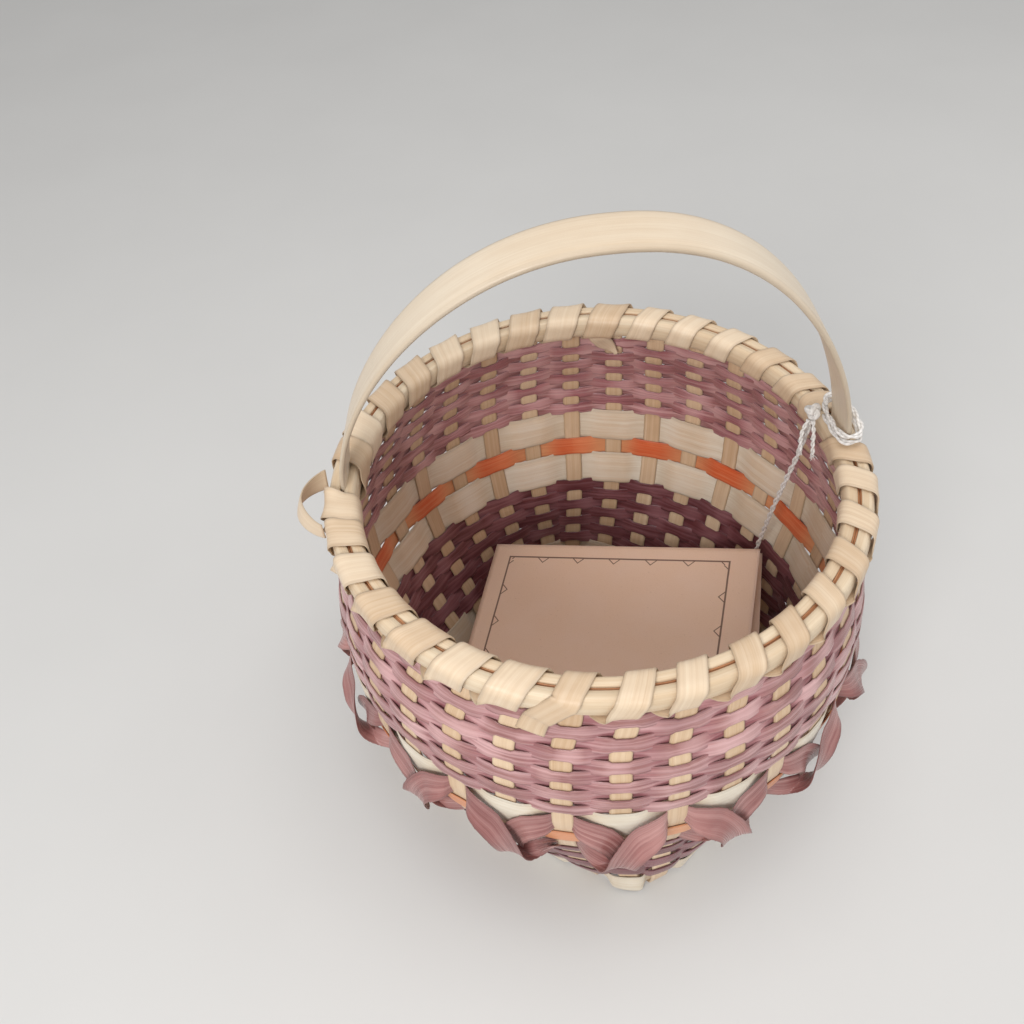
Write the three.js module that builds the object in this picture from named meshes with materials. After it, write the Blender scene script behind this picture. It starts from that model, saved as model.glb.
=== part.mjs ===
// Round splint basket on a square woven base, with a fixed hoop handle and a folded care card.
// Millimetres. +Z is up, the basket stands on z = 0 and its handle runs along X.
import * as THREE from "three";

// Base and stakes
const SPLINTS_PER_WAY = 8;
const SPLINT_WIDTH = 8.4;
const SPLINT_THICK = 1;
const BASE_TURN = 5;
const FOOT_HALF = 74.5;
const FOOT_MARGIN = 4.5;
const SPLINT_PITCH = (2 * (FOOT_HALF - FOOT_MARGIN)) / SPLINTS_PER_WAY;
const FOOT_POWER = 6;
const LAYER_GAP = 0.3;

// Wall shape
const BELLY_RADIUS = 110.5;
const BELLY_LOW = 95;
const BELLY_HIGH = 105;
const ROUND_FROM = 67;
const RIM_RADIUS = 101.2;
const BELLY_FULLNESS = 1.75;
const SHOULDER_LATENESS = 1.35;
const SQUARE_FADE = 3;

// Woven rows, from the foot up
const WEAVER_THICK = 0.8;
const WEAVE_GAP = 0.6;
const ROW_GAP = 0.5;
const ROWS_PER_FACET = 4;
const FIRST_ROW_Z = 2.5;
const FOOT_ROW_PITCH = 14;
const PLUM_ROWS = 7;
const PLUM_ROW_PITCH = 6.07;
const LOWER_WIDE_PITCH = 16;
const ORANGE_PITCH = 10;
const UPPER_WIDE_PITCH = 18;
const MAUVE_ROWS = 10;
const MAUVE_ROW_PITCH = 5.4;
const MAUVE_OUTSIDE = 2.65;
const MAUVE_INSIDE = 1.8;

// Rim
const BARE_STAKE_HEIGHT = 5;
const HOOP_HEIGHT = 10;
const HOOP_THICK = 3.8;
const HOOP_SEGMENTS = 48;
const HOOP_GAP = 0.5;
const HOOP_BEVEL = 0.3;
const STAKE_TOP_BELOW_RIM = 2.7;
const FILLER_WIDTH = 3;
const FILLER_HEIGHT = 2;
const FILLER_BELOW_RIM = 0.2;
const FILLER_STEP = 6;
const FILLER_END = 6.8;

// Lashing of the rim
const LASHING_WIDTH = 10.5;
const LASHING_THICK = 0.8;
const LASHING_GAP = 0.5;
const LASHING_CORNER = 1.2;
const LASHING_EDGE = 0.7;
const LASHING_PARTS = 2;
const LASHING_STEP_ASIDE = 3.4;
const LASHING_FRONT_GAP = 22;
const TAIL_LENGTH = 13;
const TAIL_DRIFT = 1.05;
const LOOP_BULGE = 8;
const LOOP_FROM = 176;
const LOOP_TO = 191;
const LOOP_WIDTH = 7.5;
const LOOP_STEPS = 8;

// Handle
const HANDLE_GAPS = [0, 15];
const HANDLE_WIDTH = 22;
const HANDLE_FOOT_WIDTH = 17.6;
const HANDLE_THICK = 1.8;
const HANDLE_CROWN_THICK = 2.8;
const HANDLE_RISE = 100;
const HANDLE_SHIFT = 7.5;
const HANDLE_SIDE_POWER = 0.91;
const HANDLE_CROWN_POWER = 1.23;
const HANDLE_STEPS = 30;
const HANDLE_SLOT_GAP = 0.35;
const HANDLE_STAKE_GAP = 0.56;
const HANDLE_WIDENING = 3;
const HANDLE_THICKENING = 1.2;

// Curls over the orange row
const CURL_WIDTH = 13;
const CURL_THICK = 0.8;
const CURL_GAP = 0.5;
const CURL_UNITS = 16;
const CURL_HIGH_BULGE = 11.5;
const CURL_LOW_BULGE = 6.2;
const CURL_LATENESS = 1.5;
const CURL_LIFT = 1.5;
const CURL_TUCK = 0.2;
const CURL_STEPS = [0.12, 0.38, 0.64, 0.88];

// Folded card
const CARD_WIDTH = 140;
const CARD_HEIGHT = 108;
const CARD_THICK = 0.6;
const CARD_FOLD_GAP = 0.3;
const CARD_OPENING = 5.5;
const CARD_SKEW = 3.2;
const CARD_LOWER_WIDTH = 139.7;
const CARD_FAR_CORNER = [-44, 81.6, 37];
const CARD_ACROSS = [0.926, -0.316, 0.204];
const CARD_ALONG = [-0.303, -0.949, -0.093];
const CARD_HOLE_RADIUS = 1.8;
const CARD_HOLE_INSET = 3.4;
const HOLE_SIDES = 8;

// String that ties the card to the handle
const STRING_DIAMETER = 2.4;
const STRING_SIDES = 8;
const STRING_STEPS = 18;
const STRING_GAP = 0.35;
const KNOT_RADIUS = 3.6;
const END_KNOT_RADIUS = 2.8;
const LOOP_TURNS = 2;
const STRING_LOOP_STEPS = 16;
const STRING_LOOP_SIDES = 6;
const STRING_LOOP_RISE = 3.1;
const STRING_LOOP_SLACK = 4.6;
const STRING_LOOP_SHIFT = 1.2;
const STRING_LOOP_POWER = 3;
const KNOT_TURN = 155;
const STRING_ROUTE = [
  [88.1, 14.4, 169],
  [87.8, 16, 161],
  [87.4, 18.3, 150],
  [86.9, 21.5, 138],
  [86.4, 25.4, 124],
  [86, 29.4, 110],
  [85.8, 33.4, 96],
  [85.8, 37.4, 82],
  [85.6, 40.6, 70],
  [85.4, 42.4, 60],
];
const TAIL_ROUTES = [
  [[88, 7.4, 172], [87.8, 5.8, 168], [88, 4.4, 164]],
  [[84.2, 9.8, 172.4], [83.4, 8, 168.6], [83.4, 6.4, 164.8]],
];
const TAIL_DIAMETER = 1.8;
const TAIL_SIDES = 6;
const TAIL_STEPS = 6;

const NATURAL = 0xe6cfa8;
const PALE = 0xeadfc8;
const PLUM = 0x6a3238;
const MAUVE = 0xa8707a;
const ORANGE = 0xd08048;
const COTTON = 0xd6d0c8;
const PAPER = 0xdcb9a0;

const STAKES = SPLINTS_PER_WAY * 4;
const STAKE_ANGLE = 360 / STAKES;
const BASE_LEVEL = SPLINT_THICK + LAYER_GAP / 2;
const WEAVE_OFFSET = (SPLINT_THICK + WEAVER_THICK) / 2 + WEAVE_GAP;

const BANDS = [
  { name: "foot_row", count: 1, pitch: FOOT_ROW_PITCH, colour: PALE },
  { name: "plum_row", count: PLUM_ROWS, pitch: PLUM_ROW_PITCH, colour: PLUM },
  { name: "lower_wide_row", count: 1, pitch: LOWER_WIDE_PITCH, colour: PALE, tucked: true },
  { name: "orange_row", count: 1, pitch: ORANGE_PITCH, colour: ORANGE },
  { name: "upper_wide_row", count: 1, pitch: UPPER_WIDE_PITCH, colour: PALE, tucked: true },
  { name: "mauve_row", count: MAUVE_ROWS, pitch: MAUVE_ROW_PITCH, colour: MAUVE, zigzag: true },
];

const ROWS = stackRows(BANDS);
const RIM_BOTTOM = ROWS[ROWS.length - 1].high + ROW_GAP + BARE_STAKE_HEIGHT;
const RIM_TOP = RIM_BOTTOM + HOOP_HEIGHT;
const STAKE_TOP = RIM_TOP - STAKE_TOP_BELOW_RIM;
const STAKE_LEVELS = stakeLevels();

const HOOP_INSIDE = RIM_RADIUS + SPLINT_THICK / 2 + HOOP_GAP;
const HOOP_OUTSIDE = HOOP_INSIDE + HOOP_THICK;
const HANDLE_RADIUS = RIM_RADIUS - SPLINT_THICK / 2 - HANDLE_STAKE_GAP - HANDLE_THICK / 2;
const INNER_HOOP_OUTSIDE = HANDLE_RADIUS - HANDLE_THICK / 2 - HANDLE_SLOT_GAP;
const INNER_HOOP_INSIDE = INNER_HOOP_OUTSIDE - HOOP_THICK;

const basket = new THREE.Group();

function radians(degrees) {
  return (degrees * Math.PI) / 180;
}

function unit(azimuth) {
  return new THREE.Vector3(Math.cos(radians(azimuth)), Math.sin(radians(azimuth)), 0);
}

function mix(a, b, share) {
  return a + (b - a) * share;
}

function clamp01(value) {
  return Math.min(1, Math.max(0, value));
}

function stackRows(bands) {
  const rows = [];
  let low = FIRST_ROW_Z;
  for (const band of bands) {
    for (let inBand = 1; inBand <= band.count; inBand += 1) {
      const name = band.count > 1 ? `${band.name}_${inBand}` : band.name;
      const isLast = inBand === band.count;
      rows.push({ ...band, name, inBand, isLast, low, high: low + band.pitch - ROW_GAP });
      low += band.pitch;
    }
  }
  return rows;
}

// A stake bends only between rows: at each band's edge and within the long bands.
function stakeLevels() {
  const bends = ROWS.filter((row) => row.isLast || row.inBand % ROWS_PER_FACET === 0);
  const levels = bends.map((row) => row.high + ROW_GAP / 2);
  return levels.concat([RIM_BOTTOM, STAKE_TOP]);
}

// Wall radius along the middle of a side, from the square foot over the belly to the rim.
function sideRadius(z) {
  if (z < BELLY_LOW) {
    const rise = clamp01((z - BASE_LEVEL) / (BELLY_LOW - BASE_LEVEL));
    return mix(FOOT_HALF, BELLY_RADIUS, 1 - (1 - rise) ** BELLY_FULLNESS);
  }
  const shoulder = clamp01((z - BELLY_HIGH) / (RIM_BOTTOM - BELLY_HIGH));
  return mix(BELLY_RADIUS, RIM_RADIUS, (1 - Math.cos(Math.PI * shoulder ** SHOULDER_LATENESS)) / 2);
}

function squarePower(z) {
  return 2 + (FOOT_POWER - 2) * clamp01(1 - z / ROUND_FROM) ** SQUARE_FADE;
}

function wallRadius(azimuth, z) {
  const turn = radians(azimuth - BASE_TURN - 45);
  const power = squarePower(z);
  const sum = Math.abs(Math.cos(turn)) ** power + Math.abs(Math.sin(turn)) ** power;
  return sideRadius(z) / sum ** (1 / power);
}

function wallPoint(azimuth, z, offset = 0) {
  const point = unit(azimuth).multiplyScalar(wallRadius(azimuth, z)).setZ(z);
  return offset ? point.addScaledVector(wallNormal(azimuth, z), offset) : point;
}

function wallNormal(azimuth, z) {
  const step = 0.5;
  const around = wallPoint(azimuth + step, z).sub(wallPoint(azimuth - step, z));
  const up = wallPoint(azimuth, z + step).sub(wallPoint(azimuth, z - step));
  return around.cross(up).normalize();
}

function alongWall(normal) {
  return new THREE.Vector3(-normal.y, normal.x, 0).normalize();
}

// Where a base splint at this offset from the middle meets the edge of the square.
function baseEdge(offset) {
  return (FOOT_HALF ** FOOT_POWER - Math.abs(offset) ** FOOT_POWER) ** (1 / FOOT_POWER);
}

function splintOffset(index) {
  return (index - (SPLINTS_PER_WAY - 1) / 2) * SPLINT_PITCH;
}

// Stakes leave the square where their splint does and are evenly spaced once the wall is round.
function stakeAzimuth(stake, z) {
  const side = Math.floor(stake / SPLINTS_PER_WAY);
  const offset = splintOffset(stake - side * SPLINTS_PER_WAY);
  const atFoot = (Math.atan2(offset, baseEdge(offset)) * 180) / Math.PI + 45 + 90 * side;
  const atRim = (stake + 0.5) * STAKE_ANGLE;
  const rise = clamp01(z / ROUND_FROM);
  return BASE_TURN + mix(atFoot, atRim, rise * rise * (3 - 2 * rise));
}

function isStakeOutside(stake, row) {
  return (stake + row) % 2 === 0;
}

// A closed body from cross-sections that all have their corners in the same order.
function loft(sections, closed = false) {
  const corners = sections[0].length;
  const count = sections.length;
  const index = [];
  for (let i = 0; i < (closed ? count : count - 1); i += 1) {
    const next = (i + 1) % count;
    for (let j = 0; j < corners; j += 1) {
      const k = (j + 1) % corners;
      const quad = [i * corners + j, i * corners + k, next * corners + k, next * corners + j];
      index.push(quad[0], quad[1], quad[2], quad[0], quad[2], quad[3]);
    }
  }
  if (!closed) {
    const last = (count - 1) * corners;
    for (let j = 1; j < corners - 1; j += 1) {
      index.push(0, j + 1, j, last, last + j, last + j + 1);
    }
  }
  const points = sections.flat();
  const geometry = new THREE.BufferGeometry();
  geometry.setAttribute("position", new THREE.Float32BufferAttribute(points.flatMap((p) => p.toArray()), 3));
  geometry.setIndex(signedVolume(points, index) < 0 ? index.reverse() : index);
  geometry.computeVertexNormals();
  return geometry;
}

function signedVolume(points, index) {
  let volume = 0;
  const cross = new THREE.Vector3();
  for (let i = 0; i < index.length; i += 3) {
    volume += cross.crossVectors(points[index[i + 1]], points[index[i + 2]]).dot(points[index[i]]);
  }
  return volume;
}

// Corners of a flat strip's cross-section: across its width and through its thickness.
function stripSection(at, across, face, width, thick) {
  const half = across.clone().multiplyScalar(width / 2);
  const depth = face.clone().multiplyScalar(thick / 2);
  return [
    at.clone().sub(half).sub(depth),
    at.clone().add(half).sub(depth),
    at.clone().add(half).add(depth),
    at.clone().sub(half).add(depth),
  ];
}

function addPiece(name, geometry, colour, roughness = 0.62) {
  const material = new THREE.MeshStandardMaterial({ color: colour, roughness, metalness: 0 });
  const piece = new THREE.Mesh(geometry, material);
  piece.name = name;
  basket.add(piece);
  return piece;
}

// Middle line of a stake where it bends: its place, the wall's outward normal and the way across.
function stakeBend(stake, z) {
  const azimuth = stakeAzimuth(stake, z);
  const normal = wallNormal(azimuth, Math.max(z, BASE_LEVEL + 1));
  return { at: wallPoint(azimuth, z), normal, across: alongWall(normal) };
}

// The same anywhere on the straight stretches between two bends.
function onStake(stake, z) {
  const bends = [BASE_LEVEL, ...STAKE_LEVELS];
  const above = Math.max(1, bends.findIndex((level) => level >= z));
  const low = stakeBend(stake, bends[above - 1]);
  const high = stakeBend(stake, bends[above]);
  const share = (z - bends[above - 1]) / (bends[above] - bends[above - 1]);
  const across = low.across.clone().lerp(high.across, share).normalize();
  const upward = high.at.clone().sub(low.at).normalize();
  upward.addScaledVector(across, -upward.dot(across)).normalize();
  return { at: low.at.clone().lerp(high.at, share), across, upward, normal: across.clone().cross(upward) };
}

// One stake from the foot of the wall to its top; sign is +1 or -1 for the two ends of a splint.
function stakeSections(stake, sign) {
  return STAKE_LEVELS.map((z) => {
    const bend = stakeBend(stake, z);
    const across = bend.across.multiplyScalar(sign);
    return stripSection(bend.at, across, bend.normal.negate(), SPLINT_WIDTH, SPLINT_THICK);
  });
}

function bendSection(stake, side, sign) {
  const bend = stakeBend(stake, BASE_LEVEL);
  const face = new THREE.Vector3(0, 0, 1).sub(bend.normal).normalize();
  const across = bend.across.multiplyScalar(sign).add(side);
  across.addScaledVector(face, -across.dot(face)).normalize();
  return stripSection(bend.at, across, face, SPLINT_WIDTH, SPLINT_THICK);
}

// A base splint runs over and under its eight crossings and turns up at both ends as two stakes.
function baseSplint(way, index) {
  const along = unit(BASE_TURN + 45 + 90 * way);
  const side = unit(BASE_TURN + 135 + 90 * way);
  const up = new THREE.Vector3(0, 0, 1);
  const offset = splintOffset(index);
  const farStake = way * SPLINTS_PER_WAY + index;
  const nearStake = (way + 2) * SPLINTS_PER_WAY + (SPLINTS_PER_WAY - 1 - index);
  const flat = SPLINT_WIDTH / 2 + LAYER_GAP;
  const sections = stakeSections(nearStake, -1).reverse();
  sections.push(bendSection(nearStake, side, -1));
  for (let crossing = 0; crossing < SPLINTS_PER_WAY; crossing += 1) {
    const isOver = (index + crossing) % 2 === 0;
    const lift = (isOver ? 1 : -1) * (SPLINT_THICK + LAYER_GAP) / 2;
    for (const end of [-flat, flat]) {
      const at = along.clone().multiplyScalar(splintOffset(crossing) + end).addScaledVector(side, offset);
      at.setZ(BASE_LEVEL + lift);
      sections.push(stripSection(at, side, up, SPLINT_WIDTH, SPLINT_THICK));
    }
  }
  sections.push(bendSection(farStake, side, 1));
  sections.push(...stakeSections(farStake, 1));
  return loft(sections);
}

// Corners of a weaver at a distance beside a stake's middle line; it leans as the stake does.
function weaverSection(stake, shift, row, offset) {
  const low = onStake(stake, row.low);
  const high = onStake(stake, row.high);
  const corner = (place, depth) => place.at.clone().addScaledVector(place.across, shift)
    .addScaledVector(place.normal, offset + depth);
  return [
    corner(low, -WEAVER_THICK / 2),
    corner(low, WEAVER_THICK / 2),
    corner(high, WEAVER_THICK / 2),
    corner(high, -WEAVER_THICK / 2),
  ];
}

// A wide weaver lies flat behind or before each stake and crosses over between them.
function flatRow(row, number) {
  const sections = [];
  const room = row.tucked ? CURL_THICK + 2 * CURL_GAP : WEAVE_GAP;
  const behind = -(SPLINT_THICK + WEAVER_THICK) / 2 - room;
  const flat = SPLINT_WIDTH / 2 + WEAVE_GAP;
  for (let stake = 0; stake < STAKES; stake += 1) {
    const offset = isStakeOutside(stake, number) ? behind : WEAVE_OFFSET;
    sections.push(weaverSection(stake, -flat, row, offset));
    sections.push(weaverSection(stake, flat, row, offset));
  }
  return loft(sections, true);
}

// A narrow weaver runs straight from the outside of one stake to the inside of the next.
function zigzagRow(row, number) {
  const sections = [];
  for (let stake = 0; stake < STAKES; stake += 1) {
    const offset = isStakeOutside(stake, number) ? -MAUVE_INSIDE : MAUVE_OUTSIDE;
    sections.push(weaverSection(stake, 0, row, offset));
  }
  return loft(sections, true);
}

// A rim hoop is a half-round strip: flat towards the stakes and rounded on its other face.
function hoop(flatRadius, roundRadius) {
  const bevel = (flatRadius - roundRadius) * HOOP_BEVEL;
  const profile = [
    new THREE.Vector2(flatRadius, RIM_BOTTOM),
    new THREE.Vector2(roundRadius + bevel, RIM_BOTTOM),
    new THREE.Vector2(roundRadius, (RIM_BOTTOM + RIM_TOP) / 2),
    new THREE.Vector2(roundRadius + bevel, RIM_TOP),
    new THREE.Vector2(flatRadius, RIM_TOP),
  ];
  const sections = [];
  for (let i = 0; i < HOOP_SEGMENTS; i += 1) {
    const out = unit(BASE_TURN + (i * 360) / HOOP_SEGMENTS);
    sections.push(profile.map((p) => out.clone().multiplyScalar(p.x).setZ(p.y)));
  }
  return loft(sections, true);
}

function filler(from, to) {
  const steps = Math.round((to - from) / FILLER_STEP);
  const high = RIM_TOP - FILLER_BELOW_RIM;
  const middle = (INNER_HOOP_OUTSIDE + HOOP_INSIDE) / 2;
  const sections = [];
  for (let i = 0; i <= steps; i += 1) {
    const out = unit(mix(from, to, i / steps));
    const at = out.clone().multiplyScalar(middle).setZ(high - FILLER_HEIGHT / 2);
    sections.push(stripSection(at, out, new THREE.Vector3(0, 0, 1), FILLER_WIDTH, FILLER_HEIGHT));
  }
  return loft(sections);
}

function gapAzimuth(gap) {
  return BASE_TURN + gap * STAKE_ANGLE;
}

// One turn of the lashing round both hoops, as places on the rim's section with their facing.
function lashingTurn() {
  const out = HOOP_OUTSIDE + LASHING_GAP + LASHING_THICK / 2;
  const inside = INNER_HOOP_INSIDE - LASHING_GAP - LASHING_THICK / 2;
  const low = RIM_BOTTOM - LASHING_GAP - LASHING_THICK / 2;
  const high = RIM_TOP + LASHING_GAP + LASHING_THICK / 2;
  const tilt = Math.PI / 8;
  const cut = LASHING_CORNER;
  return [
    { r: inside + cut, z: low, facing: -Math.PI / 2 - tilt, along: 0, aside: 0 },
    { r: inside, z: low + cut, facing: -Math.PI + tilt, along: 0.03, aside: 0 },
    { r: inside, z: high - cut, facing: Math.PI - tilt, along: 0.3, aside: 0.8 },
    { r: inside + cut, z: high, facing: Math.PI / 2 + tilt, along: 0.36, aside: 1 },
    { r: out - cut, z: high, facing: Math.PI / 2 - tilt, along: 0.64, aside: 1 },
    { r: out, z: high - cut, facing: tilt, along: 0.7, aside: 0.8 },
    { r: out, z: low + cut, facing: -tilt, along: 0.97, aside: 0 },
    { r: out - cut, z: low, facing: -Math.PI / 2 + tilt, along: 1, aside: 0 },
  ];
}

function lashingAside(gap) {
  const wrapped = ((gap % STAKES) + STAKES) % STAKES;
  if (HANDLE_GAPS.includes(wrapped)) {
    return -LASHING_STEP_ASIDE;
  }
  return HANDLE_GAPS.includes(wrapped - 1) ? LASHING_STEP_ASIDE : 0;
}

// A place on the lashing, where the strip lies across the rim and faces the given way.
function lashingPlace(azimuth, at, facing) {
  return { at, facing, across: unit(azimuth - 90) };
}

// The middle line of one lashing strip: each turn moves on by one gap between stakes.
function lashingLine(firstGap, turns) {
  const line = [];
  for (let turn = 0; turn < turns; turn += 1) {
    const gap = firstGap - turn;
    for (const place of lashingTurn()) {
      const azimuth = gapAzimuth(gap) - place.along * STAKE_ANGLE + place.aside * lashingAside(gap);
      const out = unit(azimuth);
      const facing = out.clone().multiplyScalar(Math.cos(place.facing)).setZ(Math.sin(place.facing));
      line.push(lashingPlace(azimuth, out.clone().multiplyScalar(place.r).setZ(place.z), facing));
    }
  }
  return line;
}

// Cross-sections of a flat strip along a line of places, which may close on itself.
function stripAlong(line, width, thick, closed = false) {
  const count = line.length;
  return line.map((place, i) => {
    const before = line[closed ? (i + count - 1) % count : Math.max(0, i - 1)].at;
    const after = line[closed ? (i + 1) % count : Math.min(count - 1, i + 1)].at;
    const travel = after.clone().sub(before).normalize();
    const across = place.across ?? travel.clone().cross(place.facing).normalize();
    const face = place.facing.clone().addScaledVector(across, -place.facing.dot(across)).normalize();
    return stripSection(place.at, across, face, width, thick);
  });
}

// The loose end of a lashing strip lies on the wall below the rim.
function lashingTail(gap) {
  const azimuth = gapAzimuth(gap) - STAKE_ANGLE * TAIL_DRIFT;
  const z = RIM_BOTTOM - TAIL_LENGTH;
  const offset = MAUVE_OUTSIDE + WEAVER_THICK / 2 + LASHING_GAP + LASHING_THICK;
  return lashingPlace(azimuth, wallPoint(azimuth, z, offset), wallNormal(azimuth, z));
}

function lashing(firstGap, turns, hasTail) {
  const line = lashingLine(firstGap, turns);
  line.shift();
  line.pop();
  if (hasTail) {
    line.push(lashingTail(firstGap - turns + 1));
  }
  return line;
}

// A short loop of lashing that stands off the rim beside the left foot of the handle.
function tailLoop() {
  const line = [];
  const rest = HOOP_OUTSIDE + LASHING_GAP + LASHING_THICK * 1.5 + LASHING_EDGE;
  for (let i = 0; i <= LOOP_STEPS; i += 1) {
    const share = i / LOOP_STEPS;
    const out = unit(mix(LOOP_FROM, LOOP_TO, share));
    const r = rest + LOOP_BULGE * Math.sin(Math.PI * share);
    const z = (RIM_BOTTOM + RIM_TOP) / 2;
    line.push({ at: out.clone().multiplyScalar(r).setZ(z), facing: out, across: new THREE.Vector3(0, 0, 1) });
  }
  return loft(stripAlong(line, LOOP_WIDTH, LASHING_THICK));
}

// Least distance between points of a winding that lie at least one whole turn apart.
function leastGap(line, turnLength, width) {
  let least = Infinity;
  for (let i = 0; i < line.length; i += 1) {
    for (let j = i + turnLength - 1; j < line.length; j += 1) {
      least = Math.min(least, line[i].at.distanceTo(line[j].at));
    }
  }
  return least - width;
}

// The handle leaves the slot of the rim upright, and its crown is shifted a little to the right.
function handle() {
  const right = unit(gapAzimuth(HANDLE_GAPS[0])).multiplyScalar(HANDLE_RADIUS);
  const left = unit(gapAzimuth(HANDLE_GAPS[1])).multiplyScalar(HANDLE_RADIUS);
  const footZ = RIM_BOTTOM + HANDLE_SLOT_GAP;
  const middle = right.clone().add(left).multiplyScalar(0.5);
  const half = right.clone().sub(left).multiplyScalar(0.5);
  const line = [{ at: right.clone().setZ(footZ), share: 0 }];
  for (let i = 0; i <= HANDLE_STEPS; i += 1) {
    const turn = (Math.PI * i) / HANDLE_STEPS;
    const reach = Math.sign(Math.cos(turn)) * Math.abs(Math.cos(turn)) ** HANDLE_SIDE_POWER;
    const rise = Math.abs(Math.sin(turn)) ** HANDLE_CROWN_POWER;
    const at = middle.clone().addScaledVector(half, reach).setZ(RIM_TOP + HANDLE_RISE * rise);
    at.x += HANDLE_SHIFT * rise * rise;
    line.push({ at, share: rise });
  }
  line.push({ at: left.clone().setZ(footZ), share: 0 });
  return loft(line.map((place, i) => handleSection(line, place, i, right, left)));
}

function handleSection(line, place, i, right, left) {
  const before = line[Math.max(0, i - 1)].at;
  const after = line[Math.min(line.length - 1, i + 1)].at;
  const travel = after.clone().sub(before).normalize();
  const share = i / (line.length - 1);
  const rightAcross = new THREE.Vector3(-right.y, right.x, 0).normalize();
  const leftAcross = new THREE.Vector3(left.y, -left.x, 0).normalize();
  const across = rightAcross.lerp(leftAcross, share).normalize();
  const face = travel.clone().cross(across).normalize();
  const width = mix(HANDLE_FOOT_WIDTH, HANDLE_WIDTH, clamp01(place.share * HANDLE_WIDENING));
  const thick = mix(HANDLE_THICK, HANDLE_CROWN_THICK, clamp01(place.share * HANDLE_THICKENING));
  return stripSection(place.at, across, face, width, thick);
}

// A curl strip goes round the wall: under every second stake, high and low by turns, and
// stands off the wall in between, furthest near its lower end.
function curl(startsHigh, bulge) {
  const lowRow = ROWS.find((row) => row.name === "lower_wide_row");
  const highRow = ROWS.find((row) => row.name === "upper_wide_row");
  const levels = [(lowRow.low + lowRow.high) / 2, (highRow.low + highRow.high) / 2];
  const line = [];
  for (let number = 0; number < CURL_UNITS; number += 1) {
    const fromHigh = (number % 2 === 0) === startsHigh;
    const from = levels[fromHigh ? 1 : 0];
    const to = levels[fromHigh ? 0 : 1];
    line.push(tuckedPlace(number * 2, from, 1));
    for (const share of CURL_STEPS) {
      const z = mix(from, to, share * share * (3 - 2 * share));
      const fromTop = fromHigh ? share : 1 - share;
      const offset = CURL_LIFT + bulge * Math.sin(Math.PI * fromTop ** CURL_LATENESS);
      const azimuth = BASE_TURN + (number * 2 + 0.5 + CURL_TUCK + share * (2 - 2 * CURL_TUCK)) * STAKE_ANGLE;
      const facing = wallNormal(azimuth, z);
      line.push({ at: wallPoint(azimuth, z, offset), facing, across: alongWall(facing).cross(facing) });
    }
    line.push(tuckedPlace((number * 2 + 2) % STAKES, to, -1));
  }
  return loft(stripAlong(line, CURL_WIDTH, CURL_THICK, true), true);
}

// Where a curl strip slips between a stake and the weaver behind it.
function tuckedPlace(stake, z, side) {
  const place = onStake(stake, z);
  const offset = -(SPLINT_THICK + CURL_THICK) / 2 - CURL_GAP;
  const at = place.at.addScaledVector(place.across, side * (SPLINT_WIDTH / 2 + CURL_GAP));
  at.addScaledVector(place.normal, offset);
  return { at, facing: place.normal, across: place.upward.negate() };
}

function cardFrame() {
  const across = new THREE.Vector3(...CARD_ACROSS).normalize();
  const along = new THREE.Vector3(...CARD_ALONG);
  along.addScaledVector(across, -along.dot(across)).normalize();
  const up = along.clone().cross(across).normalize();
  return { across, along, up: up.z < 0 ? up.negate() : up };
}

// A leaf lies in its own plane: x away from the fold, y along it, z through the paper.
function leaf(width, hole) {
  const shape = new THREE.Shape();
  shape.moveTo(CARD_FOLD_GAP, 0);
  shape.lineTo(width, 0);
  shape.lineTo(width, CARD_HEIGHT);
  shape.lineTo(CARD_FOLD_GAP, CARD_HEIGHT);
  shape.closePath();
  if (hole) {
    const path = new THREE.Path();
    path.absarc(width - CARD_HOLE_INSET, CARD_HOLE_INSET, CARD_HOLE_RADIUS, 0, Math.PI * 2, true);
    shape.holes.push(path);
  }
  const options = { depth: CARD_THICK, bevelEnabled: false, curveSegments: HOLE_SIDES };
  return new THREE.ExtrudeGeometry(shape, options);
}

function placeLeaf(piece, across, along, up) {
  const basis = new THREE.Matrix4().makeBasis(across, along, up);
  piece.quaternion.setFromRotationMatrix(basis);
  piece.position.set(...CARD_FAR_CORNER);
}

// The right-handed axes of a leaf seen from below keep the fold along the same edge.
function addCard() {
  const { across, along, up } = cardFrame();
  const down = up.clone().negate();
  const cover = addPiece("card_cover", leaf(CARD_WIDTH, false), PAPER, 0.85);
  placeLeaf(cover, across, along, down);
  cover.position.addScaledVector(up, CARD_THICK + CARD_FOLD_GAP);
  const opened = across.clone().applyAxisAngle(along, radians(CARD_OPENING) * turnSign(across, along, up));
  const lowerUp = along.clone().cross(opened).normalize();
  const faceUp = lowerUp.z < 0 ? lowerUp.clone().negate() : lowerUp;
  const skewed = opened.clone().applyAxisAngle(faceUp, radians(CARD_SKEW));
  const skewedAlong = along.clone().applyAxisAngle(faceUp, radians(CARD_SKEW));
  const back = addPiece("card_back", leaf(CARD_LOWER_WIDTH, true), PAPER, 0.85);
  placeLeaf(back, skewed, skewedAlong, faceUp.clone().negate());
  return { back, cover };
}

// Where the string comes out under the hole of the lower leaf.
function belowHole(back) {
  back.updateMatrixWorld(true);
  const inset = new THREE.Vector3(CARD_LOWER_WIDTH - CARD_HOLE_INSET, CARD_HOLE_INSET, CARD_THICK);
  const through = inset.applyMatrix4(back.matrixWorld);
  return through.setZ(through.z - CARD_THICK);
}

// The sign of a turn about the fold that lowers the free edge.
function turnSign(across, along, up) {
  return Math.sign(-across.clone().applyAxisAngle(along, 0.1).sub(across).dot(up));
}

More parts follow.
